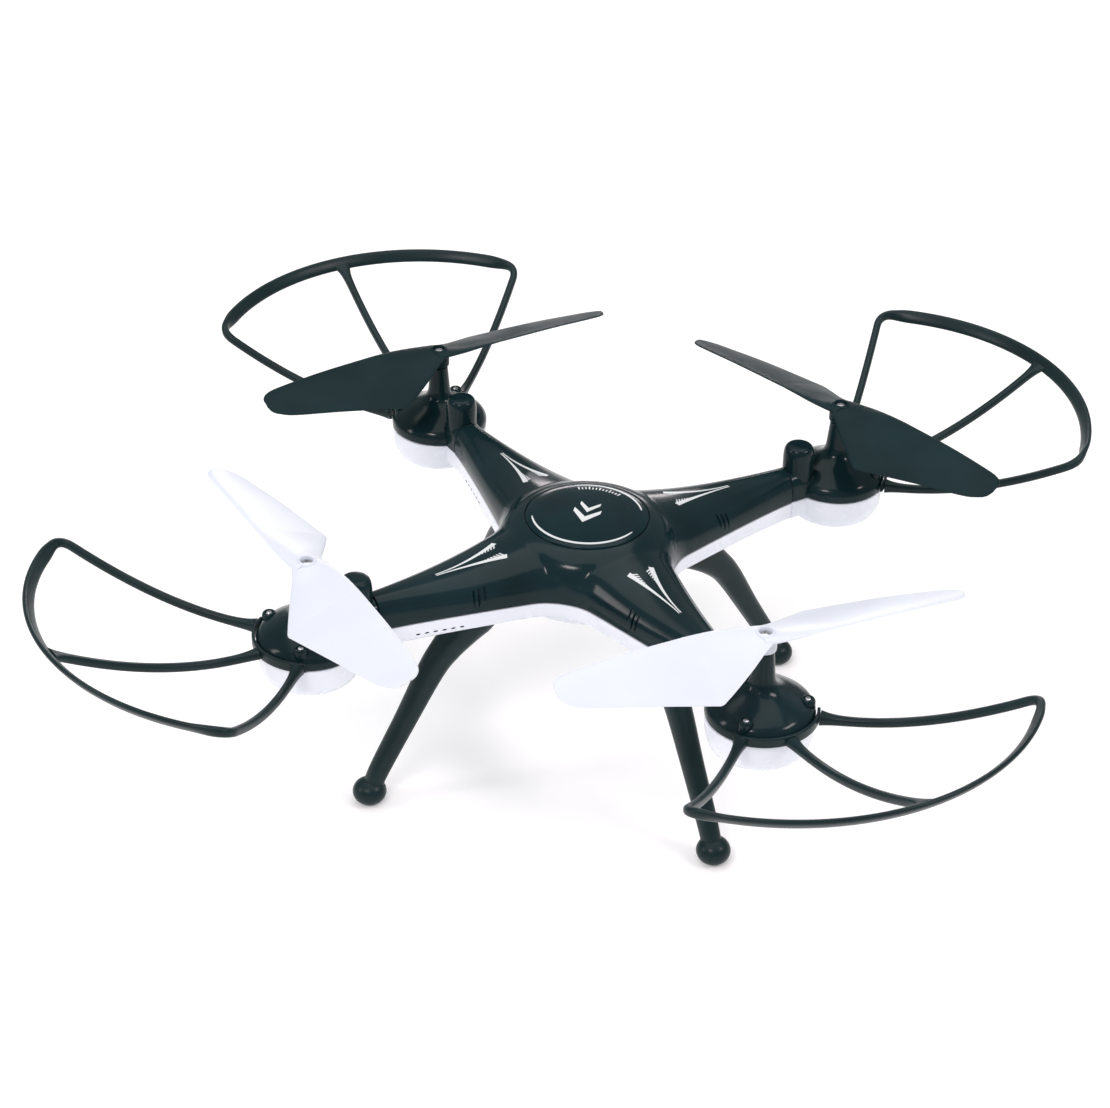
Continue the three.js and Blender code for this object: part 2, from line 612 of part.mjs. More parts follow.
for (const { tag, azimuth, guardTurn, spin, bladeAzimuth } of CORNERS) {
  const arm = new THREE.Group();
  arm.rotation.z = radians(azimuth);
  drone.add(arm);
  add(arm, `leg_${tag}`, leg(), glossBlack);
  add(arm, `motor_lead_${tag}`, motorLead(), () => material(0xb02020, 0.6));

  const pod = new THREE.Group();
  pod.position.x = ARM_REACH;
  arm.add(pod);
  add(pod, `motor_mount_${tag}`, motorMount(), glossBlack);
  add(pod, `gear_cover_${tag}`, gearCover(), glossWhite);
  add(pod, `guard_${tag}`, guard().rotate([0, 0, guardTurn]), glossBlack);
  add(pod, `motor_${tag}`, motor(), steel);
  add(pod, `pinion_${tag}`, pinion(), brass);
  add(pod, `main_gear_${tag}`, mainGear(), nylon);
  add(pod, `rotor_shaft_${tag}`, rod(SHAFT.radius, SHAFT.lowZ, SHAFT.topZ, 12), steel);
  add(pod, `upper_bush_${tag}`, pipe(BUSH.inside, BUSH.outside, ...BUSH.upperZ, 12), brass);
  add(pod, `lower_bush_${tag}`, pipe(BUSH.inside, BUSH.outside, ...BUSH.lowerZ, 12), brass);
  add(pod, `propeller_screw_${tag}`, propellerScrew(), steel);
  const blades = propeller(spin).rotate([0, 0, bladeAzimuth - azimuth]);
  const isFront = tag.startsWith('f');
  add(pod, `propeller_${tag}`, blades, isFront ? glossWhite : glossBlack);
}

export default drone;
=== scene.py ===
"""A quadcopter with four geared rotors, propeller guards and curved landing legs.

Shapes are worked out in millimetres, +Z up, nose towards -Y, and built in metres round the CAD
frame. A corner's frame has its origin on the rotor axis or under the body's centre, with +X away
from the body.
"""
import math

import bmesh
import bpy
import numpy as np
from mathutils import Matrix, Vector


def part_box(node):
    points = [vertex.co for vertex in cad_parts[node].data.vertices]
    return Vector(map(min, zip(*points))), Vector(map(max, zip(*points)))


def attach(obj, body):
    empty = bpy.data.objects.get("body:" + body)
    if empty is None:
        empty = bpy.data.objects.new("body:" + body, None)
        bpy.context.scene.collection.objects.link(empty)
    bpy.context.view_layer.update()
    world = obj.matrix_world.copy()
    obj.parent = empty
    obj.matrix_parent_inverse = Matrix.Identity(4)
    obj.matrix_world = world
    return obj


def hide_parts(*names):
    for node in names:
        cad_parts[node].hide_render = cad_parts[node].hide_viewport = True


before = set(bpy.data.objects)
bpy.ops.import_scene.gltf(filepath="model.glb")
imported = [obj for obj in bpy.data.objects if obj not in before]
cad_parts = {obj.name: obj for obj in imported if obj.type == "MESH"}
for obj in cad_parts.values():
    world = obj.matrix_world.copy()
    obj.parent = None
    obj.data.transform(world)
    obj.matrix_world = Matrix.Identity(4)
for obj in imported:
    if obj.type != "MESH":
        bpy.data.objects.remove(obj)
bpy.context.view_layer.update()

# ---- driving dimensions ---------------------------------------------------------------------

MM = 0.001
SQRT2 = math.sqrt(2)
WELD = 2e-6  # metres; points closer than this are one
PARTING = 0.3  # gap between pieces that touch
WALL = 1.4  # moulded shell thickness


def middle_of(node):
    low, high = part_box(node)
    return (low + high) / 2 / MM


# Corner tags follow the craft's own left and right.
CORNERS = {
    "fr": {"guard_turn": 1.6, "spin": 1, "blade": -45.4, "vents": 1},
    "fl": {"guard_turn": -3.3, "spin": -1, "blade": 218, "vents": -1},
    "rl": {"guard_turn": -3.2, "spin": 1, "blade": -33, "vents": -1},
    "rr": {"guard_turn": -2.9, "spin": -1, "blade": 226, "vents": -1},
}
for tag, corner in CORNERS.items():
    axis = middle_of(f"rotor_shaft_{tag}")
    corner["azimuth"] = math.degrees(math.atan2(axis.y, axis.x))
    corner["reach"] = math.hypot(axis.x, axis.y)

# Body shells.
SPLIT_Z = 71
TIP = 80
ARM = {"half_width": 6, "flare": 10.5, "flare_length": 50, "flare_power": 1.15}
FILLET = {"start": 30, "length": 8.4, "rise": 3.05}
CREST = {"arm": 10.2, "rise": 6.6, "middle": 30, "spread": 9, "edge": 2.4, "fullness": 2.4}
KEEL = {"arm": 7.5, "edge": 4.2, "fullness": 4}
DOME = {"radius": 30.8, "height": 16.4, "fullness": 7, "blend": 0.7}
CANOPY = {"radius": 20.5, "floor": 86.2, "rim": 87.2, "top": 88.6}
SEAT = CANOPY["radius"] + PARTING
CORE = 21.1  # inside this radius a shell's sheet is round
STRAIGHT = 35  # beyond this distance along an arm its rows run straight across
CEILING_Z = 84.8
BELLY_Z = 59.7

# Gearbox pod, in a corner's frame.
POD = {"rim": 17.1, "rim_z": 71.4, "bore": 2.3, "top_z": 94.8}
NECK = {"start": -22.2, "end": -12, "half_width": 5.9, "top": 81.2, "pod_top": 79, "low": 63.9}
MOTOR_X = -16.5
SLEEVE = {"inside": 4.3, "outside": 5.4, "roof": 88.8, "top": 90}
BAND = {"inside": POD["rim"] + PARTING, "outside": 18.4, "low": 71.6, "top": 75, "half_angle": 58}
LUG = {"radius": 2.4, "reach": 14.3, "azimuth": 53, "top": 78.7, "screw_depth": 0.75,
       "screw_scale": [0.6, 0.6, 0.75]}

# Propeller.
HUB = {"radius": 3.7, "low": 95.4, "top": 102, "bore": 1.3, "bore_top": 98.5}
SCREW = {"head": 1.8, "shank": 0.7, "head_z": 100.5, "top": 101.4, "low": 98.6}
# Blade stations: distance out, leading edge (back, up), trailing edge (back, up), thickness.
BLADE = [
    (-2, -4.6, 100.2, 4.6, 100.2, 2.4),
    (0, -5.2, 100.3, 5.2, 100.3, 2.6),
    (3.5, -5.8, 100.6, 6.8, 99, 2.6),
    (8.5, -6.4, 101, 9.8, 96.9, 2.4),
    (15, -6.7, 101.5, 13.6, 94.7, 2.2),
    (20.5, -6.7, 101.7, 16.6, 93, 1.8),
    (23, -6.7, 101.7, 17.6, 92.4, 1.6),
    (26.5, -6.65, 101.65, 16.9, 92.7, 1.6),
    (45, -6.2, 101.2, 12.4, 94.6, 1.4),
    (61, -5.4, 100.2, 8.2, 95.7, 1.2),
    (66, -4.5, 99.7, 6.1, 96.4, 1),
    (68.3, -2.7, 99.2, 4.2, 97, 0.8),
    (69, -0.8, 98.6, 1.8, 97.8, 0.6),
]

GUARD = {
    "arc_centre": 9.1, "arc_radius": 77.3, "corner": 51.6, "corner_cut": 3.8,
    "mid_z": 97.1, "corner_z": 95.3,
    "root_radius": 18.6, "root_azimuth": 50, "root_z": 72.9, "sag": 1.8, "lean": 35,
    "spoke_end": 0.93, "ring_start": 0.24, "ring_blend": 0.05,
}
FLARE = {"root": 0.9, "root_length": 3.5, "end": 2.4, "end_length": 2.6}
RAIL = (0.95, 2.45)  # half sizes of the ring's band, across and up
SPOKE = (1.35, 1.4)

# Landing leg stations: distance from the body's centre, height, half depth, half width.
LEG = [
    (41, 62.9, 9, 5.4), (46.4, 58, 6.5, 5), (53.3, 52, 5.2, 4.5), (59, 45.2, 4.5, 4.1),
    (68.6, 29, 3.7, 3.6), (79, 11.6, 3.3, 3.3), (82.2, 4.6, 3.1, 3.1),
]
FOOT_X = 83

TUB = [(23.5, BELLY_Z, 0), (25.5, 60.4, 1.2), (27, 62.5, 1.5), (28, 66, 2), (28, 69, 0)]
TUB_CEILING = (12, 69.9)  # the tub's top sheet ends inside the lower shell
BAY = {"x": 24, "y": 40, "roof": 68.5, "corner": 1.6}
DOOR = {"low_x": -11.6, "high_x": 11.7, "y": 39.4, "thick": 1.5}
HINGE = {"x": -11.3, "z": BELLY_Z + 0.5, "radius": 0.8, "length": 14}
SWITCH_X = 19.5
BELLY_SCREW = {"reach": 64, "z": 63.6}


# ---- meshes ---------------------------------------------------------------------------------

class Form:
    """Points in millimetres and faces, gathered into one mesh."""

    def __init__(self):
        self.points = np.zeros((0, 3))
        self.faces = []

    def add(self, points, faces):
        start = len(self.points)
        self.points = np.vstack([self.points, np.asarray(points, float)])
        self.faces += [tuple(start + i for i in face) for face in faces]
        return self

    def join(self, other, place=None):
        return self.add(place(other.points) if place else other.points, other.faces)

    def sheet(self, grid, wrap=False, caps=False):
        """A grid of points, rows by columns. wrap joins each row's ends, and caps closes the
        first and last rows."""
        grid = np.asarray(grid, float)
        rows, columns = grid.shape[:2]
        number = np.arange(rows * columns).reshape(rows, columns)
        if wrap:
            number = np.hstack([number, number[:, :1]])
        quads = np.stack([number[:-1, :-1], number[:-1, 1:], number[1:, 1:], number[1:, :-1]], -1)
        faces = quads.reshape(-1, 4).tolist()
        if caps:
            faces += [number[0, :columns][::-1].tolist(), number[-1, :columns].tolist()]
        return self.add(grid.reshape(-1, 3), faces)

    def lathe(self, profile, sides=72, at=(0, 0)):
        """A body of revolution about Z; the profile is radius, height points."""
        profile = np.asarray(profile, float)
        angles = np.linspace(0, 2 * math.pi, sides, endpoint=False)
        grid = np.zeros((len(profile), sides, 3))
        grid[..., 0] = at[0] + profile[:, :1] * np.cos(angles)
        grid[..., 1] = at[1] + profile[:, :1] * np.sin(angles)
        grid[..., 2] = profile[:, 1:]
        return self.sheet(grid, wrap=True)

    def mesh(self, name):
        mesh = bpy.data.meshes.new(name)
        mesh.from_pydata((self.points * MM).tolist(), [], self.faces)
        shape = bmesh.new()
        shape.from_mesh(mesh)
        bmesh.ops.remove_doubles(shape, verts=shape.verts, dist=WELD)
        bmesh.ops.dissolve_degenerate(shape, edges=shape.edges, dist=WELD / 2)
        bmesh.ops.recalc_face_normals(shape, faces=shape.faces)
        shape.to_mesh(mesh)
        shape.free()
        return mesh


def combined(form, others, operation):
    """form joined with the others (UNION) or with them cut away (DIFFERENCE)."""
    base = bpy.data.objects.new("base", form.mesh("base"))
    bpy.context.scene.collection.objects.link(base)
    tools = []
    for other in others:
        tool = bpy.data.objects.new("tool", other.mesh("tool"))
        bpy.context.scene.collection.objects.link(tool)
        modifier = base.modifiers.new("combine", "BOOLEAN")
        modifier.operation = operation
        modifier.solver = "EXACT"
        modifier.object = tool
        tools.append(tool)
    graph = bpy.context.evaluated_depsgraph_get()
    result = base.evaluated_get(graph).to_mesh()
    made = Form()
    points = np.zeros(len(result.vertices) * 3)
    result.vertices.foreach_get("co", points)
    made.add(points.reshape(-1, 3) / MM, [tuple(face.vertices) for face in result.polygons])
    for thing in [base, *tools]:
        bpy.data.objects.remove(thing)
    return made


def build(name, form, material, body, place=None, stands_for=(), sharp=32):
    """A finished piece that rides on a body and stands for CAD nodes."""
    placed = Form().join(form, place)
    mesh = placed.mesh(name)
    mesh.materials.append(material)
    mesh.shade_smooth()
    mesh.set_sharp_from_angle(angle=math.radians(sharp))
    piece = bpy.data.objects.new(name, mesh)
    bpy.context.scene.collection.objects.link(piece)
    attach(piece, body)
    if stands_for:
        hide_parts(*stands_for)
    return piece


def turned(points, degrees):
    c, s = math.cos(math.radians(degrees)), math.sin(math.radians(degrees))
    points = np.array(points, float)
    x, y = points[..., 0].copy(), points[..., 1].copy()
    points[..., 0] = c * x - s * y
    points[..., 1] = s * x + c * y
    return points


def on_arm(tag):
    """Takes points from an arm's frame, under the body's centre, to the craft's."""
    return lambda points: turned(points, CORNERS[tag]["azimuth"])


def on_pod(tag, turn=0):
    """Takes points from a rotor axis's frame to the craft's."""
    shift = np.array([CORNERS[tag]["reach"], 0, 0])
    return lambda points: turned(turned(points, turn) + shift, CORNERS[tag]["azimuth"])


def scaled(scale, at):
    """Scales points about the origin, then takes the origin to a place."""
    return lambda points: points * scale + at


def rounded(corners, steps=6):
    """A profile through corners, each given as (x, y, size of its rounding)."""
    made = []
    for i, (x, y, size) in enumerate(corners):
        here = np.array([x, y], float)
        if size == 0 or i in (0, len(corners) - 1):
            made.append(here)
            continue
        before = np.array(corners[i - 1][:2]) - here
        after = np.array(corners[i + 1][:2]) - here
        start = here + before * min(0.49, size / np.linalg.norm(before))
        end = here + after * min(0.49, size / np.linalg.norm(after))
        for t in np.linspace(0, 1, steps):
            made.append((1 - t) ** 2 * start + 2 * t * (1 - t) * here + t ** 2 * end)
    return np.array(made)


def smooth_through(stations, count):
    """Evenly many points on a smooth curve through stations of any number of values."""
    stations = np.asarray(stations, float)
    last = len(stations) - 1
    padded = np.vstack([2 * stations[0] - stations[1], stations, 2 * stations[-1] - stations[-2]])
    made = []
    for u in np.linspace(0, last, count):
        i = min(int(u), last - 1)
        t = u - i
        a, b, c, d = padded[i:i + 4]
        made.append(0.5 * (2 * b + (c - a) * t + (2 * a - 5 * b + 4 * c - d) * t ** 2
                           + (3 * b - a - 3 * c + d) * t ** 3))
    return np.array(made)


def superellipse(count, power):
    """A closed section of half size 1 by 1; power 2 is round and more is squarer."""
    angles = np.linspace(0, 2 * math.pi, count, endpoint=False)
    c, s = np.cos(angles), np.sin(angles)
    return np.sign(c) * np.abs(c) ** (2 / power), np.sign(s) * np.abs(s) ** (2 / power)


def bar(path, sizes, lean=None, sides=20, power=2.6):
    """A bar's rings along a path of points; sizes are half sizes across and up at each."""
    path = np.asarray(path, float)
    tangent = np.gradient(path, axis=0)
    tangent /= np.linalg.norm(tangent, axis=1, keepdims=True)
    side = np.cross(tangent, [0, 0, 1.0])
    side /= np.linalg.norm(side, axis=1, keepdims=True)
    high = np.cross(side, tangent)
    if lean is not None:
        c, s = np.cos(lean)[:, None], np.sin(lean)[:, None]
        side, high = side * c + high * s * -1, high * c + side * s
    across, up = superellipse(sides, power)
    return (path[:, None] + side[:, None] * across[:, None] * sizes[:, :1, None]
            + high[:, None] * up[:, None] * sizes[:, 1:, None])


# ---- materials ------------------------------------------------------------------------------

GLOSS_CHANGE = 0.06  # how far roughness wanders over a surface


def procedural(name, base, roughness, metallic=0, mottle=0.15, grain=0.9, bump=0.04, specular=0.5,
               subsurface=0):
    """Moulded or metal finish: a slow change of colour, a fine grain, uneven gloss and bump.
    mottle is a share, and grain is the bump's size in millimetres."""
    material = bpy.data.materials.new(name)
    material.use_nodes = True
    nodes, links = material.node_tree.nodes, material.node_tree.links
    shader = nodes["Principled BSDF"]
    place = nodes.new("ShaderNodeTexCoord")

    def noise(size, detail):
        texture = nodes.new("ShaderNodeTexNoise")
        texture.inputs["Scale"].default_value = 1 / (size * MM)
        texture.inputs["Detail"].default_value = detail
        links.new(place.outputs["Object"], texture.inputs["Vector"])
        return texture

    slow = noise(22, 3)
    ramp = nodes.new("ShaderNodeValToRGB")
    ramp.color_ramp.elements[0].position = 0.3
    ramp.color_ramp.elements[1].position = 0.7
    ramp.color_ramp.elements[0].color = [*(c * (1 - mottle) for c in base), 1]
    ramp.color_ramp.elements[1].color = [*(min(1, c * (1 + mottle)) for c in base), 1]
    links.new(slow.outputs["Fac"], ramp.inputs["Fac"])
    links.new(ramp.outputs["Color"], shader.inputs["Base Color"])

    gloss = nodes.new("ShaderNodeMapRange")
    gloss.inputs["To Min"].default_value = max(0.02, roughness - GLOSS_CHANGE)
    gloss.inputs["To Max"].default_value = roughness + GLOSS_CHANGE
    links.new(noise(6, 4).outputs["Fac"], gloss.inputs["Value"])
    links.new(gloss.outputs["Result"], shader.inputs["Roughness"])

    relief = nodes.new("ShaderNodeBump")
    relief.inputs["Strength"].default_value = bump
    relief.inputs["Distance"].default_value = 0.05 * MM
    links.new(noise(grain, 2).outputs["Fac"], relief.inputs["Height"])
    links.new(relief.outputs["Normal"], shader.inputs["Normal"])

    shader.inputs["Metallic"].default_value = metallic
    shader.inputs["Specular IOR Level"].default_value = specular
    if subsurface:
        shader.inputs["Subsurface Weight"].default_value = subsurface
        shader.inputs["Subsurface Radius"].default_value = (1, 1, 1)
        shader.inputs["Subsurface Scale"].default_value = 1.5 * MM
    return material


def circuit_material():
    """Green board with copper runs under the mask."""
    material = procedural("board_green", (0.01, 0.09, 0.04), 0.35, bump=0.02)
    nodes, links = material.node_tree.nodes, material.node_tree.links
    place = next(node for node in nodes if node.type == "TEX_COORD")
    runs = nodes.new("ShaderNodeTexBrick")
    runs.inputs["Scale"].default_value = 260
    runs.inputs["Mortar Size"].default_value = 0.03
    runs.inputs["Color1"].default_value = (0.01, 0.09, 0.04, 1)
    runs.inputs["Color2"].default_value = (0.012, 0.11, 0.05, 1)
    runs.inputs["Mortar"].default_value = (0.03, 0.22, 0.09, 1)
    links.new(place.outputs["Object"], runs.inputs["Vector"])
    links.new(runs.outputs["Color"], nodes["Principled BSDF"].inputs["Base Color"])
    return material


gloss_black = procedural("gloss_black", (0.0055, 0.019, 0.0225), 0.16, mottle=0.2, bump=0.03,
                         specular=0.17)
# The canopy's black is the body's black with a bluer teal tint added, a painted sheen rather than a
# different plastic.
canopy_black_painted_sheen = procedural("canopy_black_painted_sheen", (0.004, 0.019, 0.023), 0.14, mottle=0.3, bump=0.02,
                          specular=0.14)
satin_black = procedural("satin_black", (0.0065, 0.02, 0.0225), 0.33, mottle=0.2, grain=0.5,
                         bump=0.09, specular=0.2)
blade_black = procedural("blade_black", (0.005, 0.019, 0.0225), 0.38, mottle=0.2, grain=0.7,
                         bump=0.05, specular=0.1)
gloss_white = procedural("gloss_white", (0.83, 0.875, 0.95), 0.26, mottle=0.02, bump=0.03,
                         subsurface=0.08)
blade_white = procedural("blade_white", (0.69, 0.74, 0.82), 0.34, mottle=0.02, grain=0.6,
                         bump=0.05, subsurface=0.15)
print_white = procedural("print_white", (0.66, 0.70, 0.71), 0.4, mottle=0.05, grain=0.2, bump=0.05)
nylon = procedural("nylon", (0.76, 0.74, 0.66), 0.45, mottle=0.05, subsurface=0.1)
steel = procedural("steel", (0.55, 0.56, 0.58), 0.28, metallic=1, mottle=0.08, grain=0.15)
brass = procedural("brass", (0.62, 0.42, 0.14), 0.3, metallic=1, mottle=0.1, grain=0.15)
battery_wrap = procedural("battery_wrap", (0.10, 0.24, 0.48), 0.4, mottle=0.2, grain=3, bump=0.3)
lead_red = procedural("lead_red", (0.42, 0.02, 0.02), 0.45, mottle=0.1)
board_green = circuit_material()

# CAD nodes that keep showing get their finish by the start of their name.
NODE_FINISHES = {
    "circuit_board": board_green, "switch_body": steel, "motor_lead": lead_red, "motor_": steel,
    "pinion": brass, "main_gear": nylon, "rotor_shaft": steel, "upper_bush": brass,
    "lower_bush": brass,
}


# ---- body shells ----------------------------------------------------------------------------

def arm_half_width(along):
    reach = np.maximum(0, TIP - along) / ARM["flare_length"]
    fillet = np.maximum(0, FILLET["start"] - along) / FILLET["length"]
    return (ARM["half_width"] + ARM["flare"] * reach ** ARM["flare_power"]
            + FILLET["rise"] * fillet ** 2)


def edge_share(x, y, inset):
    """Share of an arm's half width at a place, 0 on its spine and 1 at its edge."""
    along = (np.abs(x) + np.abs(y)) / SQRT2
    across = np.abs(np.abs(x) - np.abs(y)) / SQRT2
    return along, np.minimum(1, across / (arm_half_width(along) - inset))


def roof_z(x, y, inset=0):
    along, share = edge_share(x, y, inset)
    crest = CREST["arm"] + CREST["rise"] / (1 + np.exp((along - CREST["middle"]) / CREST["spread"]))
    arm = CREST["edge"] + (crest - CREST["edge"]) * np.sqrt(1 - share ** CREST["fullness"])
    round_share = np.minimum(1, np.hypot(x, y) / (DOME["radius"] - inset))
    dome = DOME["height"] * np.sqrt(1 - round_share ** DOME["fullness"])
    soft = np.maximum(0, 1 - np.abs(arm - dome) / DOME["blend"]) ** 2 * DOME["blend"] / 4
    height = np.maximum(arm, dome) + soft - inset
    top = CEILING_Z if inset else np.inf
    return np.minimum(top, SPLIT_Z + PARTING / 2 + height)


def keel_z(x, y, inset=0):
    _, share = edge_share(x, y, inset)
    depth = KEEL["edge"] + (KEEL["arm"] - KEEL["edge"]) * np.sqrt(1 - share ** KEEL["fullness"])
    return SPLIT_Z - PARTING / 2 - depth + inset


def valley_at(inset):
    """Distance along an arm at which its edge meets its neighbour's."""
    low, high = 10.0, 30.0
    for _ in range(40):
        middle = (low + high) / 2
        if arm_half_width(middle) - inset > middle:
            low = middle
        else:
            high = middle
    return low


COLUMNS, INNER_ROWS, OUTER_ROWS = 57, 14, 110
SPACING = np.sin(np.linspace(-1, 1, COLUMNS) * math.pi / 2)  # closer together at the edges


def arm_plan(inset):
    """One arm's share of the X in plan, in the arm's frame: rows outwards, columns across. The
    first row is an arc round the centre, and the rows straighten outwards."""
    valley, tip = valley_at(inset), TIP - inset
    first = CORE / SQRT2
    along = np.concatenate([np.linspace(first, valley, INNER_ROWS),
                            np.linspace(valley, tip, OUTER_ROWS)[1:]])[:, None]
    half = np.minimum(along, arm_half_width(along) - inset)
    bow = first * np.clip((STRAIGHT - along) / (STRAIGHT - first), 0, 1)
    x = along + bow * (SQRT2 * np.cos(SPACING * math.pi / 4) - 1)
    y = half * SQRT2 * np.sin(SPACING * math.pi / 4)
    return np.stack([x, y], -1)


def x_surface(form, inset, surface_z):
    """The X's surface outside the core, and its free edge in order round the craft."""
    edge = []
    for corner in CORNERS.values():
        plan = turned(arm_plan(inset), corner["azimuth"])
        grid = np.dstack([plan, surface_z(plan[..., 0], plan[..., 1], inset)])
        form.sheet(grid)
        free = grid[INNER_ROWS - 1:]
        edge.append(np.concatenate([free[:-1, 0], free[-1, :], free[-2:0:-1, -1]]))
    return np.concatenate(edge)


def core_surface(form, profile):
    """The round middle of a shell: profile is radius, height points inwards from the core."""
    angles = np.concatenate([
        math.radians(corner["azimuth"]) + SPACING[:-1] * math.pi / 4
        for corner in CORNERS.values()])
    grid = [[(r * math.cos(a), r * math.sin(a), z) for a in angles] for r, z in profile]
    form.sheet(grid, wrap=True)


def offset(edge, distance, z):
    """A closed edge moved sideways in plan, outwards if distance is positive, and set to z."""
    tangent = np.roll(edge[:, :2], -1, 0) - np.roll(edge[:, :2], 1, 0)
    tangent /= np.linalg.norm(tangent, axis=1, keepdims=True)
    moved = edge.copy()
    moved[:, 0] += distance * tangent[:, 1]
    moved[:, 1] -= distance * tangent[:, 0]
    moved[:, 2] = z
    return moved


EDGE_ROUNDING = ((0, 0.55), (0.05, 0.25), (0.16, 0.08), (0.35, 0))  # inwards, above the base


def x_shell(surface_z, direction, outside_core, inside_core):
    """A hollow X-shaped moulding, open towards the split between the shells."""
    base = SPLIT_Z + direction * PARTING / 2
    form = Form()
    outer = x_surface(form, 0, surface_z)
    inner = x_surface(form, WALL, surface_z)
    lip = inner.copy()
    lip[:, 2] = base
    rings = [outer]
    for inward, rise in EDGE_ROUNDING:
        rings.append(offset(outer, -inward, base + direction * rise))
    form.sheet([*rings, lip, inner], wrap=True)
    core_surface(form, outside_core)
    core_surface(form, inside_core)
    return form


def core_ring(surface_z, radius, inset=0):
    """The height of a shell's surface at a radius near the core, where it is level."""
    return float(surface_z(np.array(radius), np.array(0.0), inset))


def capsule(length, width, count=7):
    """A slot's outline in plan, lengthways along X."""
    half = length / 2 - width / 2
    angles = np.linspace(-math.pi / 2, math.pi / 2, count)
    ahead = np.stack([half + np.cos(angles) * width / 2, np.sin(angles) * width / 2], -1)
    return np.vstack([ahead, -ahead])


VENT = {"along": 47.3, "across": 11.2, "pitch": 1.9, "length": 2.7, "width": 0.75, "slant": 68,
        "depth": 0.5, "drift": 0.15}


def vent_cutters():
    """Three slanting slots on one slope of each arm."""
    cutters = Form()
    for corner in CORNERS.values():
        side = corner["vents"]
        for k in (-1, 0, 1):
            outline = turned(capsule(VENT["length"], VENT["width"]), side * VENT["slant"])
            across = VENT["across"] - VENT["drift"] * k
            outline += [VENT["along"] + k * VENT["pitch"], side * across]
            plan = turned(outline, corner["azimuth"])
            low = roof_z(plan[:, 0], plan[:, 1]) - VENT["depth"]
            bottom = np.column_stack([plan, low])
            top = np.column_stack([plan, low + 6])
            cutters.sheet([bottom, top], wrap=True, caps=True)
    return cutters


def upper_shell():
    ring_z = core_ring(roof_z, CORE)
    floor = CANOPY["floor"]
    seat = [(CORE, ring_z), (SEAT + 0.15, ring_z), (SEAT + 0.04, ring_z - 0.05),
            (SEAT, ring_z - 0.18), (SEAT, floor + 0.15), (SEAT - 0.15, floor), (SEAT - 4, floor),
            (0, floor)]
    under = [(CORE, core_ring(roof_z, CORE, WALL)), (0, CEILING_Z)]
    shell = x_shell(roof_z, 1, seat, under)
    return combined(shell, [vent_cutters()], "DIFFERENCE")


WALL_HOLE = {"first": 53.5, "pitch": 2.9, "count": 6, "half_long": 0.75, "half_tall": 0.3,
             "z": 66.9}


def wall_hole_cutters():
    """A row of small slots through the lower shell's wall on one side of the right-hand arms."""
    angles = np.linspace(0, 2 * math.pi, 12, endpoint=False)
    cutters = Form()
    for tag in ("fr", "rr"):
        for k in range(WALL_HOLE["count"]):
            along = WALL_HOLE["first"] + k * WALL_HOLE["pitch"]
            rings = []
            for depth in (-1.0, 1.0):
                across = np.full(len(angles), arm_half_width(along) + depth)
                ring = np.stack([along + WALL_HOLE["half_long"] * np.cos(angles), across,
                                 WALL_HOLE["z"] + WALL_HOLE["half_tall"] * np.sin(angles)], -1)
                rings.append(turned(ring, CORNERS[tag]["azimuth"]))
            cutters.sheet(rings, wrap=True, caps=True)
    return cutters


def lower_shell():
    outside = [(CORE, core_ring(keel_z, CORE)), (0, core_ring(keel_z, CORE))]
    inside = [(CORE, core_ring(keel_z, CORE, WALL)), (0, core_ring(keel_z, CORE, WALL))]
    shell = x_shell(keel_z, -1, outside, inside)
    return combined(shell, [wall_hole_cutters()], "DIFFERENCE")


def rectangle_loop(half_x, half_y, corner, angles):
    """A rounded rectangle's points at the given azimuths from its middle."""
    made = []
    for a in angles:
        c, s = math.cos(a), math.sin(a)
        reach = min(half_x / max(abs(c), 1e-9), half_y / max(abs(s), 1e-9))
        x, y = reach * c, reach * s
        over_x, over_y = abs(x) - (half_x - corner), abs(y) - (half_y - corner)
        if over_x > 0 and over_y > 0:
            centre = np.array([half_x - corner, half_y - corner])
            away = np.array([over_x, over_y])
            point = centre + away / np.linalg.norm(away) * corner
            x, y = math.copysign(point[0], x), math.copysign(point[1], y)
        made.append((x, y))
    return np.array(made)


def box_form(low, high):
    (x0, y0, z0), (x1, y1, z1) = low, high
    loop = [(x0, y0), (x1, y0), (x1, y1), (x0, y1)]
    return Form().sheet([[(x, y, z) for x, y in loop] for z in (z0, z1)], wrap=True, caps=True)


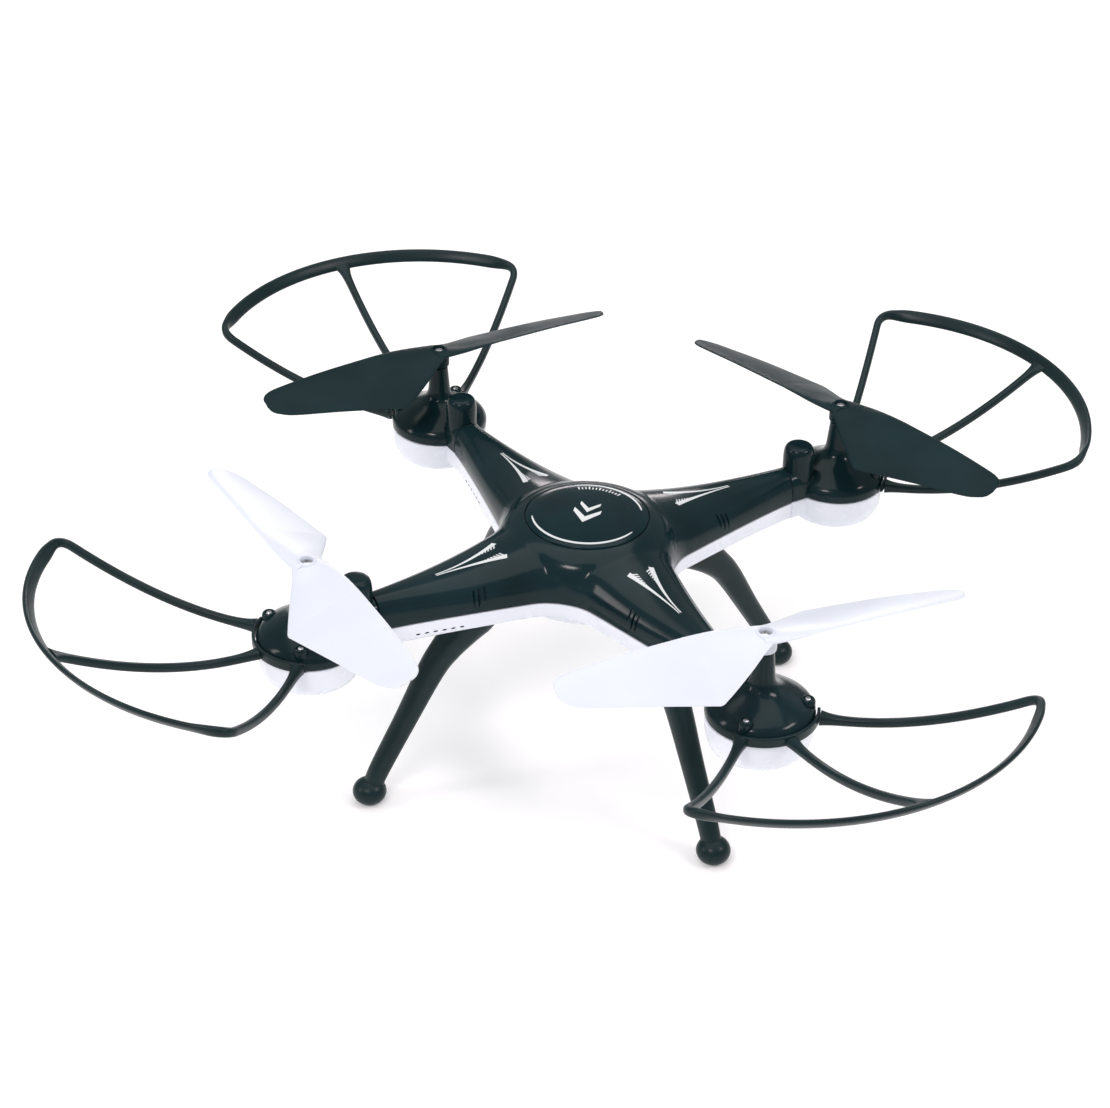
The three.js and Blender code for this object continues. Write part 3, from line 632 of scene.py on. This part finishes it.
def belly():
    """The tub under the body with the battery bay let into it."""
    half_x, half_y = BAY["x"] / 2, BAY["y"] / 2
    turn = math.atan2(half_y, half_x)
    spread = np.sort(np.concatenate([
        np.linspace(0, 2 * math.pi, 120, endpoint=False),
        *[np.linspace(m - 0.07, m + 0.07, 12) for m in
          (turn, math.pi - turn, math.pi + turn, 2 * math.pi - turn)]]))
    form = Form()
    rings = []
    for inset, z in [(0, BAY["roof"]), (0, BELLY_Z + 0.5), (-0.12, BELLY_Z + 0.15),
                     (-0.4, BELLY_Z)]:
        loop = rectangle_loop(half_x - inset, half_y - inset, BAY["corner"], spread)
        rings.append(np.column_stack([loop, np.full(len(loop), z)]))
    for radius, z in [*rounded(TUB), TUB_CEILING]:
        rings.append(np.stack([radius * np.cos(spread), radius * np.sin(spread),
                               np.full(len(spread), z)], -1))
    form.sheet(rings, wrap=True, caps=True)
    slot = Form()
    outline = turned(capsule(6.2, 2.3), 90) + [SWITCH_X, 0]
    rims = [np.column_stack([outline, np.full(len(outline), z)])
            for z in (BELLY_Z - 1, BELLY_Z + 1.3)]
    slot.sheet(rims, wrap=True, caps=True)
    room = HINGE["radius"] + PARTING
    hinge_room = box_form(
        (HINGE["x"] - room, -HINGE["length"] / 2 - PARTING, BELLY_Z - 1),
        (HINGE["x"] + room, HINGE["length"] / 2 + PARTING, HINGE["z"] + room))
    return combined(form, [slot, hinge_room], "DIFFERENCE")


def screw_head(radius=1.7, height=0.9):
    """A pan-head screw's head, recessed with a cross, its seat at z 0 and facing +Z."""
    head = Form().lathe(rounded([(0, -0.6, 0), (radius * 0.55, -0.6, 0), (radius * 0.55, 0, 0),
                                 (radius, 0, 0.1), (radius, height * 0.5, 0.3),
                                 (radius * 0.55, height, 0.7), (0, height, 0)]), sides=32)
    cross = []
    for angle in (20, 110):
        arm = turned(capsule(radius * 1.15, radius * 0.3, 4), angle)
        rings = [np.column_stack([arm * shrink, np.full(len(arm), z)])
                 for shrink, z in ((0.7, height - 0.5), (1.05, height + 0.3))]
        cross.append(Form().sheet(rings, wrap=True, caps=True))
    return combined(head, cross, "DIFFERENCE")


SMALL_SCREW = screw_head()


def screws(places, facing=1):
    """Small screws at points in millimetres, facing up or down."""
    form = Form()
    for place in places:
        form.join(SMALL_SCREW, scaled([1, facing, facing], place))
    return form


# ---- printed marks --------------------------------------------------------------------------

STRIPE = {"tip": 59, "root": 33, "tip_gap": 0.35, "spread": 4.3, "curve": 1.8,
          "tip_width": 0.35, "root_width": 1.6, "taper": 1.4, "skew": 0.5, "root_skew": 1.5}
TOOTH = {"count": 7, "start": 0.6, "pitch": 1.1, "width": 0.5, "length": 1.7, "overlap": 0.3,
         "slant": 0.9}
TICK = {"start": 62, "pitch": 4.3, "count": 13, "inside": 15.2, "short": 16.4, "long": 16.9,
        "angle": 0.03}
# Two chevrons: tip, half width, depth of a wing and thickness at the tip.
CHEVRONS = ((-6.6, 4.6, 6.2, 3.4), (-0.4, 3.4, 4.8, 2.7))
PRINT_RISE = 0.07


def printed(form, plan, surface):
    """A thin layer over a surface, from rows of points in plan."""
    plan = np.asarray(plan, float)
    z = surface(plan[..., 0], plan[..., 1])
    top = np.dstack([plan, z + PRINT_RISE])
    bottom = np.dstack([plan, z - PRINT_RISE])
    ring = np.concatenate([top, bottom[:, ::-1]], axis=1)
    form.sheet(ring, wrap=True, caps=True)


def stripe_share(along):
    """0 at a stripe's tip and 1 at its root."""
    return (STRIPE["tip"] - along) / (STRIPE["tip"] - STRIPE["root"])


def stripe_line(along, side):
    """Distance across the arm of a stripe's middle."""
    opening = (STRIPE["spread"] - STRIPE["tip_gap"]) * stripe_share(along) ** STRIPE["curve"]
    return side * (STRIPE["tip_gap"] + opening)


def stripe_width(along):
    growth = STRIPE["root_width"] - STRIPE["tip_width"]
    return STRIPE["tip_width"] + growth * stripe_share(along) ** STRIPE["taper"]


def stripes():
    """Two tapering stripes along each arm's crest, with a comb of ticks at their wide ends."""
    form = Form()
    for corner in CORNERS.values():
        for side in (-1, 1):
            along = np.linspace(STRIPE["root"], STRIPE["tip"], 70)[:, None]
            lanes = np.linspace(-0.5, 0.5, 7)
            across = stripe_line(along, side) + stripe_width(along) * lanes
            skewed = along + STRIPE["skew"] * (across * side - STRIPE["spread"])
            plan = np.dstack([np.maximum(skewed, STRIPE["root"] - STRIPE["root_skew"]), across])
            printed(form, turned(plan, corner["azimuth"]), roof_z)
            for k in range(TOOTH["count"]):
                foot = STRIPE["root"] + TOOTH["start"] + k * TOOTH["pitch"]
                inner = abs(stripe_line(foot, 1)) - stripe_width(foot) / 2
                length = TOOTH["length"] * (1 - k / TOOTH["count"]) * min(1, inner / 2)
                t = np.linspace(0, 1, 5)[:, None]
                lane = np.array([-0.5, 0.5]) * TOOTH["width"]
                a = foot + lane + TOOTH["slant"] * t
                b = side * (inner + TOOTH["overlap"] - (length + TOOTH["overlap"]) * t) + 0 * lane
                printed(form, turned(np.dstack([a, b]), corner["azimuth"]), roof_z)
    return form


def canopy_profile():
    r = CANOPY["radius"]
    return rounded([(0, CANOPY["floor"] + PARTING, 0), (r, CANOPY["floor"] + PARTING, 0.1),
                    (r, CANOPY["rim"], 0.35), (r * 0.93, CANOPY["rim"] + 0.42, 1.2),
                    (r * 0.8, 88, 3), (r * 0.45, 88.4, 5), (0, CANOPY["top"], 0)])


def canopy_z(x, y):
    profile = canopy_profile()
    top = profile[profile[:, 1] > CANOPY["rim"]]
    order = np.argsort(top[:, 0])
    return np.interp(np.hypot(x, y), top[order, 0], top[order, 1])


ARC = {"radius": 18.35, "width": 0.85, "front": (-161, -22), "rear": (22, 118)}


def canopy_marks():
    """Two arcs round the plate, a row of plain ticks and a double chevron towards the nose."""
    form = Form()
    for start, end in (ARC["front"], ARC["rear"]):
        angles = np.radians(np.linspace(start, end, 90))[:, None]
        taper = np.sin(np.linspace(0, math.pi, 90))[:, None] ** 0.25
        radii = ARC["radius"] + ARC["width"] * taper * np.linspace(-0.5, 0.5, 5)
        printed(form, np.dstack([radii * np.cos(angles), radii * np.sin(angles)]), canopy_z)
    for k in range(TICK["count"]):
        angle = math.radians(TICK["start"] + TICK["pitch"] * k)
        radii = np.array([TICK["inside"], TICK["short"] if k % 3 else TICK["long"]])[:, None]
        lanes = angle + np.array([-0.5, 0.5]) * TICK["angle"]
        printed(form, np.dstack([radii * np.cos(lanes), radii * np.sin(lanes)]), canopy_z)
    for tip, wing, depth, notch in CHEVRONS:
        for side in (-1, 1):
            t = np.linspace(0, 1, 8)[:, None]
            lanes = np.linspace(0, 1, 5)
            x = side * wing * t + 0 * lanes
            y = tip + (depth * t) + lanes * notch * (1 - 0.35 * t)
            printed(form, np.dstack([x, y]), canopy_z)
    return form


# ---- landing leg ----------------------------------------------------------------------------

LEG_RIDGE = {"rise": 0.06, "width": 0.16}  # shares of the leg's own half sizes
LEG_ROOT_ROWS = 8  # rows over which the sections turn from level to square on the path


def leg():
    form = Form()
    stations = smooth_through(LEG, 90)
    path = np.column_stack([stations[:, 0], np.zeros(len(stations)), stations[:, 1]])
    tangent = np.gradient(path, axis=0)
    tangent[0] = (0, 0, -1)
    blend = np.clip(np.arange(len(path)) / LEG_ROOT_ROWS, 0, 1)[:, None]
    tangent /= np.linalg.norm(tangent, axis=1, keepdims=True)
    tangent = tangent * blend + np.array([0, 0, -1.0]) * (1 - blend)
    tangent /= np.linalg.norm(tangent, axis=1, keepdims=True)
    side = np.array([0, 1.0, 0])
    outwards = np.cross(tangent, side)
    across, up = superellipse(40, 2.5)
    ridge = 1 + LEG_RIDGE["rise"] * np.exp(-(across / LEG_RIDGE["width"]) ** 2) * (up < 0)
    grid = (path[:, None] + side * (across[:, None] * stations[:, 3][:, None, None])
            + outwards[:, None] * (up * ridge)[:, None] * stations[:, 2][:, None, None])
    form.sheet(grid, wrap=True, caps=True)
    form.lathe(rounded([(0, 0, 0), (3.5, 0, 0.5), (5.2, 1.6, 1.0), (5.9, 3.9, 2.0), (5, 6.4, 1.6),
                        (2.8, 8, 1.4), (0, 8.3, 0)]), sides=48, at=(FOOT_X, 0))
    return form


# ---- gearbox pod ----------------------------------------------------------------------------

ARCH = {"spring": 2.4, "fullness": 0.7}


def arch_ring(x, half_width, low, top, count=24):
    """A neck's section: straight sides with an arch over them."""
    angles = np.linspace(0, math.pi, count)
    rise = np.sin(angles) ** ARCH["fullness"]
    y = half_width * np.cos(angles)
    z = low + ARCH["spring"] + (top - low - ARCH["spring"]) * rise
    y = np.concatenate([y, [-half_width, half_width]])
    z = np.concatenate([z, [low, low]])
    return np.stack([np.full(len(y), x), y, z], -1)


def motor_mount():
    rim, rim_z, top_z = POD["rim"], POD["rim_z"], POD["top_z"]
    dome = Form().lathe(rounded([
        (0, rim_z, 0), (rim - 0.2, rim_z, 0.1), (rim, rim_z + 0.3, 0.2), (rim, 74, 0.8),
        (15.9, 76, 1.3), (12, 78.6, 2.6), (6.6, 81.2, 2.6), (4.1, 83.8, 2.4), (3.1, top_z, 0.4),
        (0, top_z, 0)], steps=8), sides=112)
    start, half, top = NECK["start"], NECK["half_width"], NECK["top"]
    neck = Form().sheet([
        arch_ring(start, half - 0.35, rim_z, top - 0.35),
        arch_ring(start + 0.35, half, rim_z, top),
        arch_ring(start + 3, half + 0.1, rim_z, top + 0.2),
        arch_ring(NECK["end"], half, rim_z, NECK["pod_top"]),
    ], wrap=True, caps=True)
    sleeve = Form().lathe(rounded([
        (0, rim_z, 0), (SLEEVE["outside"], rim_z, 0), (SLEEVE["outside"], 87.2, 2.4),
        (4.6, 89.6, 1.6), (2.6, SLEEVE["top"], 1.4), (0, SLEEVE["top"], 0)]),
        sides=72, at=(MOTOR_X, 0))
    radius, top = LUG["radius"], LUG["top"]
    lug_profile = rounded([
        (0, rim_z, 0), (radius, rim_z, 0), (radius, top - 1, 0.9), (1.8, top - 0.15, 0.4),
        (1.3, top - 0.2, 0.1), (1.2, top - 0.7, 0.1), (0, top - 0.7, 0)])
    places = [polar(LUG["reach"], side * LUG["azimuth"], 0)[:2] for side in (-1, 1)]
    lugs = [Form().lathe(lug_profile, sides=40, at=place) for place in places]
    whole = combined(dome, [neck, sleeve, *lugs], "UNION")
    hollow = Form().lathe([(0, 70), (15.7, 70), (15.7, 73), (5.5, 79.2), (POD["bore"], 80.4),
                           (POD["bore"], 96), (0, 96)], sides=112)
    bore = Form().lathe([(0, 70), (SLEEVE["inside"], 70), (SLEEVE["inside"], SLEEVE["roof"]),
                         (0, SLEEVE["roof"])], sides=72, at=(MOTOR_X, 0))
    return combined(whole, [hollow, bore], "DIFFERENCE")


def gear_cover():
    cup = Form().lathe(rounded([(0, 58.5, 0), (11, 58.5, 1.6), (14.6, 60, 2.2), (16.5, 63.5, 2.6),
                                (17, 70.7, 0.3), (16.7, 71, 0), (0, 71, 0)], steps=8), sides=112)
    rings = []
    for inset, x in ((0.4, NECK["start"]), (0, NECK["start"] + 0.4), (0, NECK["end"])):
        half = NECK["half_width"] - PARTING - inset
        low = NECK["low"] + inset
        section = rounded([(0, low, 0), (half, low, 1.6), (half, 70.7, 0.2),
                           (half - 0.2, SPLIT_Z, 0), (0, SPLIT_Z, 0)])
        left = section[1:-1][::-1] * [-1, 1]
        ring = np.vstack([section, left])
        rings.append(np.column_stack([np.full(len(ring), x), ring]))
    neck = Form().sheet(rings, wrap=True, caps=True)
    whole = combined(cup, [neck], "UNION")
    hollow = Form().lathe([(0, 60), (11.3, 60), (13.8, 61.2), (15.2, 64), (15.7, 72), (0, 72)],
                          sides=112)
    pocket = Form().lathe([(0, 65.5), (4.2, 65.5), (4.2, 72), (0, 72)], sides=48, at=(MOTOR_X, 0))
    cover = combined(whole, [hollow, pocket], "DIFFERENCE")
    boss = [(0, 59.5), (3.8, 59.5), (3.8, 65.9), (POD["bore"], 65.9), (POD["bore"], 63.2),
            (0, 63.2)]
    return cover.lathe(boss, sides=48)


# ---- propeller ------------------------------------------------------------------------------

BLADE_CHORD = 15  # points along the chord on each face
BLADE_CAMBER = 0.55  # height of the arch
BLADE_HALF = 0.4  # half thickness as a share of a station's thickness


def blade(spin):
    """Thin arched sections from the hub to the rounded tip, in the rotor's frame, along +X."""
    stations = smooth_through(BLADE, 130)
    t = (1 - np.cos(np.linspace(0, math.pi, BLADE_CHORD))) / 2
    camber = BLADE_CAMBER * 2.2 * np.sqrt(t) * (1 - t)
    thick = np.sin(math.pi * t) ** 0.55
    rings = []
    for out, lead_back, lead_z, trail_back, trail_z, full in stations:
        back = lead_back + (trail_back - lead_back) * t
        z = lead_z + (trail_z - lead_z) * t
        half = BLADE_HALF * full * thick
        upper = np.column_stack([np.full(len(t), out), -spin * back, z + camber + half])
        lower = np.column_stack([np.full(len(t), out), -spin * back, z + camber - half])
        rings.append(np.vstack([upper, lower[-2:0:-1]]))
    return Form().sheet(rings, wrap=True, caps=True)


def propeller(spin):
    radius, low, top = HUB["radius"], HUB["low"], HUB["top"]
    hub = Form().lathe(rounded([
        (0, low, 0), (radius - 0.1, low, 0.2), (radius, low + 0.4, 0.2), (radius, top - 2.4, 1.2),
        (radius - 0.5, top - 0.5, 0.9), (radius - 1.3, top, 0.4), (0, top, 0)]), sides=64)
    one = blade(spin)
    other = Form().join(one, lambda points: turned(points, 180))
    whole = combined(hub, [one, other], "UNION")
    shank, head = SCREW["shank"] + PARTING, SCREW["head"] + PARTING
    seat_z = SCREW["head_z"] - PARTING
    bore = Form().lathe([
        (0, low - 1), (HUB["bore"], low - 1), (HUB["bore"], HUB["bore_top"]),
        (shank, HUB["bore_top"]), (shank, seat_z), (head, seat_z), (head, top - 0.25),
        (head + 0.25, top + 0.01), (head + 0.25, top + 2), (0, top + 2)], sides=48)
    return combined(whole, [bore], "DIFFERENCE")


def propeller_screw():
    head = screw_head(SCREW["head"], SCREW["top"] - SCREW["head_z"])
    form = Form().join(head, scaled(1, [0, 0, SCREW["head_z"]]))
    top = SCREW["head_z"] - 0.1
    return form.lathe([(0, SCREW["low"]), (SCREW["shank"], SCREW["low"]), (SCREW["shank"], top),
                       (0, top)], sides=24)


# ---- guard ----------------------------------------------------------------------------------

def polar(radius, degrees, z):
    a = math.radians(degrees)
    return np.array([radius * math.cos(a), radius * math.sin(a), z])


def arc_point(degrees):
    z = GUARD["mid_z"] - (GUARD["mid_z"] - GUARD["corner_z"]) * (degrees / GUARD["corner"]) ** 2
    return polar(GUARD["arc_radius"], degrees, z) + [GUARD["arc_centre"], 0, 0]


def spoke_point(root, end, t):
    point = root + (end - root) * t
    point[2] = root[2] + (end[2] - root[2]) * t ** GUARD["sag"]
    return point


def guard():
    form = Form()
    reach = GUARD["corner"] - GUARD["corner_cut"]
    sides = []
    for side in (-1, 1):
        root = polar(GUARD["root_radius"], side * GUARD["root_azimuth"], GUARD["root_z"])
        corner = arc_point(side * GUARD["corner"])
        spoke = [spoke_point(root, corner, t) for t in np.linspace(0, GUARD["spoke_end"], 60)]
        start, end = spoke[-1], arc_point(side * reach)
        bend = [(1 - t) ** 2 * start + 2 * t * (1 - t) * corner + t ** 2 * end
                for t in np.linspace(0, 1, 14)[1:-1]]
        sides.append(spoke + bend)
    arc = [arc_point(angle) for angle in np.linspace(-reach, reach, 120)]
    loop = np.array([*sides[0], *arc, *sides[1][::-1]])
    place = np.concatenate([[0], np.cumsum(np.linalg.norm(np.diff(loop, axis=0), axis=1))])
    share = place / place[-1]
    from_end = np.minimum(share, 1 - share)
    t = np.clip((from_end - GUARD["ring_start"]) / GUARD["ring_blend"], 0, 1)
    on_ring = (t * t * (3 - 2 * t))[:, None]
    run = np.minimum(place, place[-1] - place)
    root_flare = FLARE["root"] * np.exp(-run / FLARE["root_length"])[:, None]
    sizes = np.array(SPOKE) * (1 - on_ring) + np.array(RAIL) * on_ring + root_flare
    lean = on_ring[:, 0] * math.radians(GUARD["lean"])
    form.sheet(bar(loop, sizes, lean=lean, sides=24), wrap=True, caps=True)
    root = polar(GUARD["root_radius"], 0, GUARD["root_z"])
    middle = np.array([spoke_point(root, arc_point(0), t) for t in np.linspace(0, 0.987, 70)])
    run = np.linalg.norm(middle - middle[0], axis=1)
    foot = FLARE["root"] * np.exp(-run / FLARE["root_length"])
    end = np.exp(-(run[-1] - run) / FLARE["end_length"])
    sizes = np.column_stack([SPOKE[0] + foot + FLARE["end"] * end,
                             SPOKE[1] + 0.25 * foot - 0.3 * end])
    form.sheet(bar(middle, sizes, sides=24), wrap=True, caps=True)
    inside, outside, low, top = (BAND[key] for key in ("inside", "outside", "low", "top"))
    section = rounded([(inside, low + 0.1, 0), (outside, low, 0.5), (outside, top, 0.6),
                       (inside, top, 0.3), (inside, low + 0.2, 0)])
    form.sheet([[polar(r, angle, z) for r, z in section]
                for angle in np.linspace(-BAND["half_angle"], BAND["half_angle"], 72)],
               wrap=True, caps=True)
    return form


# ---- battery door, battery, switch ----------------------------------------------------------

def battery_door():
    half_x, half_y = (DOOR["high_x"] - DOOR["low_x"]) / 2, DOOR["y"] / 2
    middle_x = (DOOR["high_x"] + DOOR["low_x"]) / 2
    angles = np.linspace(0, 2 * math.pi, 180, endpoint=False)
    rings = []
    for inset, z in [(0.3, BELLY_Z + DOOR["thick"]), (0, BELLY_Z + DOOR["thick"] - 0.3),
                     (0, BELLY_Z + 0.3), (0.1, BELLY_Z + 0.08), (0.3, BELLY_Z)]:
        loop = rectangle_loop(half_x - inset, half_y - inset, 1.5, angles) + [middle_x, 0]
        rings.append(np.column_stack([loop, np.full(len(loop), z)]))
    plate = Form().sheet(rings, wrap=True, caps=True)
    grips = Form()
    for k in range(5):
        outline = turned(capsule(10, 0.8), 90) + [half_x - 3 - 1.6 * k, 0]
        rims = [np.column_stack([outline, np.full(len(outline), z)])
                for z in (BELLY_Z - 1, BELLY_Z + 0.45)]
        grips.sheet(rims, wrap=True, caps=True)
    door = combined(plate, [grips], "DIFFERENCE")
    half, radius = HINGE["length"] / 2, HINGE["radius"]
    knuckle = Form().lathe(
        rounded([(0, -half, 0), (radius, -half, 0.2), (radius, half, 0.2), (0, half, 0)]), sides=28)
    return door.join(knuckle, lambda p: np.column_stack(
        [p[:, 0] + HINGE["x"], p[:, 2], p[:, 1] + HINGE["z"]]))


def rounded_block(node, corner, edge):
    """A block in a CAD node's box with rounded corners in plan and eased top and bottom edges."""
    low, high = (np.array(point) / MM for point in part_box(node))
    centre, half = (low + high) / 2, (high - low) / 2
    angles = np.linspace(0, 2 * math.pi, 144, endpoint=False)
    rings = []
    steps = np.linspace(0, math.pi / 2, 5)
    levels = [(edge * (1 - math.sin(a)), low[2] + edge * (1 - math.cos(a))) for a in steps]
    levels += [(inset, low[2] + high[2] - z) for inset, z in levels[::-1]]
    for inset, z in levels:
        loop = rectangle_loop(half[0] - inset, half[1] - inset, corner, angles) + centre[:2]
        rings.append(np.column_stack([loop, np.full(len(loop), z)]))
    return Form().sheet(rings, wrap=True, caps=True)


# ---- the pieces -----------------------------------------------------------------------------

build("upper_shell_skin", upper_shell(), gloss_black, "airframe",
      stands_for=["upper_shell"])
build("lower_shell_skin", lower_shell(), gloss_white, "airframe",
      stands_for=["lower_shell"])
build("belly_skin", belly(), gloss_white, "airframe")
build("canopy_skin", Form().lathe(canopy_profile(), sides=160), canopy_black_painted_sheen, "airframe",
      stands_for=["canopy_plate"])
build("arm_stripes", stripes(), print_white, "airframe")
build("canopy_marks", canopy_marks(), print_white, "airframe")
build("door_skin", battery_door(), gloss_white, "door", stands_for=["battery_door"])
build("battery_skin", rounded_block("battery", 2.2, 1.2), battery_wrap, "airframe",
      stands_for=["battery"])
build("switch_knob_skin", rounded_block("switch_knob", 0.4, 0.2), satin_black, "power_switch",
      stands_for=["switch_knob"])

belly_screws = [polar(BELLY_SCREW["reach"], corner["azimuth"], BELLY_SCREW["z"])
                for corner in CORNERS.values()]
build("belly_screws", screws(belly_screws, facing=-1), steel, "airframe")

leg_form, mount_form, cover_form, guard_form = leg(), motor_mount(), gear_cover(), guard()
propellers = {spin: propeller(spin) for spin in (-1, 1)}
screw_form = propeller_screw()
for tag, corner in CORNERS.items():
    pod, arm = on_pod(tag), on_arm(tag)
    rotor = f"rotor_{tag}"
    front = tag.startswith("f")
    build(f"leg_skin_{tag}", leg_form, satin_black, "airframe", arm,
          stands_for=[f"leg_{tag}"])
    build(f"mount_skin_{tag}", mount_form, gloss_black, "airframe", pod,
          stands_for=[f"motor_mount_{tag}"])
    build(f"cover_skin_{tag}", cover_form, gloss_white, "airframe", pod,
          stands_for=[f"gear_cover_{tag}"])
    build(f"guard_skin_{tag}", guard_form, satin_black, "airframe",
          on_pod(tag, corner["guard_turn"]), stands_for=[f"guard_{tag}"],
          sharp=40)
    small = Form()
    for side in (-1, 1):
        at = polar(LUG["reach"], side * LUG["azimuth"], LUG["top"] - LUG["screw_depth"])
        small.join(SMALL_SCREW, scaled(LUG["screw_scale"], at))
    build(f"guard_screws_{tag}", small, steel, "airframe", pod)
    build(f"blades_{tag}", propellers[corner["spin"]], blade_white if front else blade_black,
          rotor, on_pod(tag, corner["blade"] - corner["azimuth"]),
          stands_for=[f"propeller_{tag}"],
          sharp=50)
    build(f"screw_skin_{tag}", screw_form, steel, rotor, pod,
          stands_for=[f"propeller_screw_{tag}"])

for name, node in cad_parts.items():
    finish = next((material for start, material in NODE_FINISHES.items()
                   if name.startswith(start)), None)
    if finish and not node.hide_render:
        node.data.materials.clear()
        node.data.materials.append(finish)

# ---- floor, light and camera ----------------------------------------------------------------

scene = bpy.context.scene


def pale_floor():
    half = 4.0
    mesh = bpy.data.meshes.new("floor")
    mesh.from_pydata([(-half, -half, 0), (half, -half, 0), (half, half, 0), (-half, half, 0)], [],
                     [(0, 1, 2, 3)])
    paper = procedural("floor_paper", (0.9, 0.9, 0.9), 0.9, mottle=0.004, grain=3, bump=0.02,
                       specular=0.1)
    shader = paper.node_tree.nodes["Principled BSDF"]
    shader.inputs["Emission Color"].default_value = (1, 1, 1, 1)
    shader.inputs["Emission Strength"].default_value = 0.2
    mesh.materials.append(paper)
    floor = bpy.data.objects.new("floor", mesh)
    scene.collection.objects.link(floor)


def softbox(name, place, target, size, watts, color=(1, 1, 1)):
    data = bpy.data.lights.new(name, "AREA")
    data.shape = "RECTANGLE"
    data.size, data.size_y = size
    data.energy = watts
    data.color = color
    light = bpy.data.objects.new(name, data)
    light.location = place
    away = np.array(place) - np.array(target)
    light.rotation_mode = "QUATERNION"
    light.rotation_quaternion = Vector(away).to_track_quat("Z", "Y")
    scene.collection.objects.link(light)


pale_floor()
WARM = (1, 0.9, 0.92)
softbox("overhead", (-0.1, 0.15, 1.5), (0, 0, 0), (1.6, 1.6), 12.5)
softbox("front", (-0.15, -0.74, 0.88), (0, 0, 0.07), (0.26, 0.13), 3.2, WARM)
softbox("right", (0.84, -0.07, 0.88), (0, 0, 0.07), (0.42, 0.14), 3.4, WARM)
softbox("left", (-0.95, -0.45, 0.62), (0, 0, 0.07), (0.16, 0.5), 2.4, WARM)
softbox("rear", (-0.25, 1.3, 0.4), (0, 0, 0.08), (0.5, 0.12), 1.8, WARM)
world = bpy.data.worlds.new("studio")
world.use_nodes = True
world.node_tree.nodes["Background"].inputs["Color"].default_value = (1, 1, 1, 1)
world.node_tree.nodes["Background"].inputs["Strength"].default_value = 0.36
scene.world = world
scene.view_settings.view_transform = "Standard"

CAMERA = {"place": (0.16037, -0.70416, 0.53500), "pitch": 32.688, "roll": 1.1485, "yaw": -13.652,
          "lens": 83.05}
pitch, roll, yaw = (math.radians(CAMERA[key]) for key in ("pitch", "roll", "yaw"))
level = np.array([[1, 0, 0], [0, -math.sin(pitch), -math.cos(pitch)],
                  [0, math.cos(pitch), -math.sin(pitch)]])
tilt, heading = (np.array([[math.cos(a), -math.sin(a), 0], [math.sin(a), math.cos(a), 0],
                           [0, 0, 1]]) for a in (roll, yaw))
right, down, ahead = tilt @ level @ heading
camera = bpy.data.objects.new("camera", bpy.data.cameras.new("camera"))
camera.data.lens = CAMERA["lens"]
camera.data.sensor_width = 36
camera.data.clip_start, camera.data.clip_end = 0.05, 20
camera.matrix_world = Matrix([
    [right[i], -down[i], -ahead[i], CAMERA["place"][i]] for i in range(3)] + [[0, 0, 0, 1]])
scene.collection.objects.link(camera)
scene.camera = camera
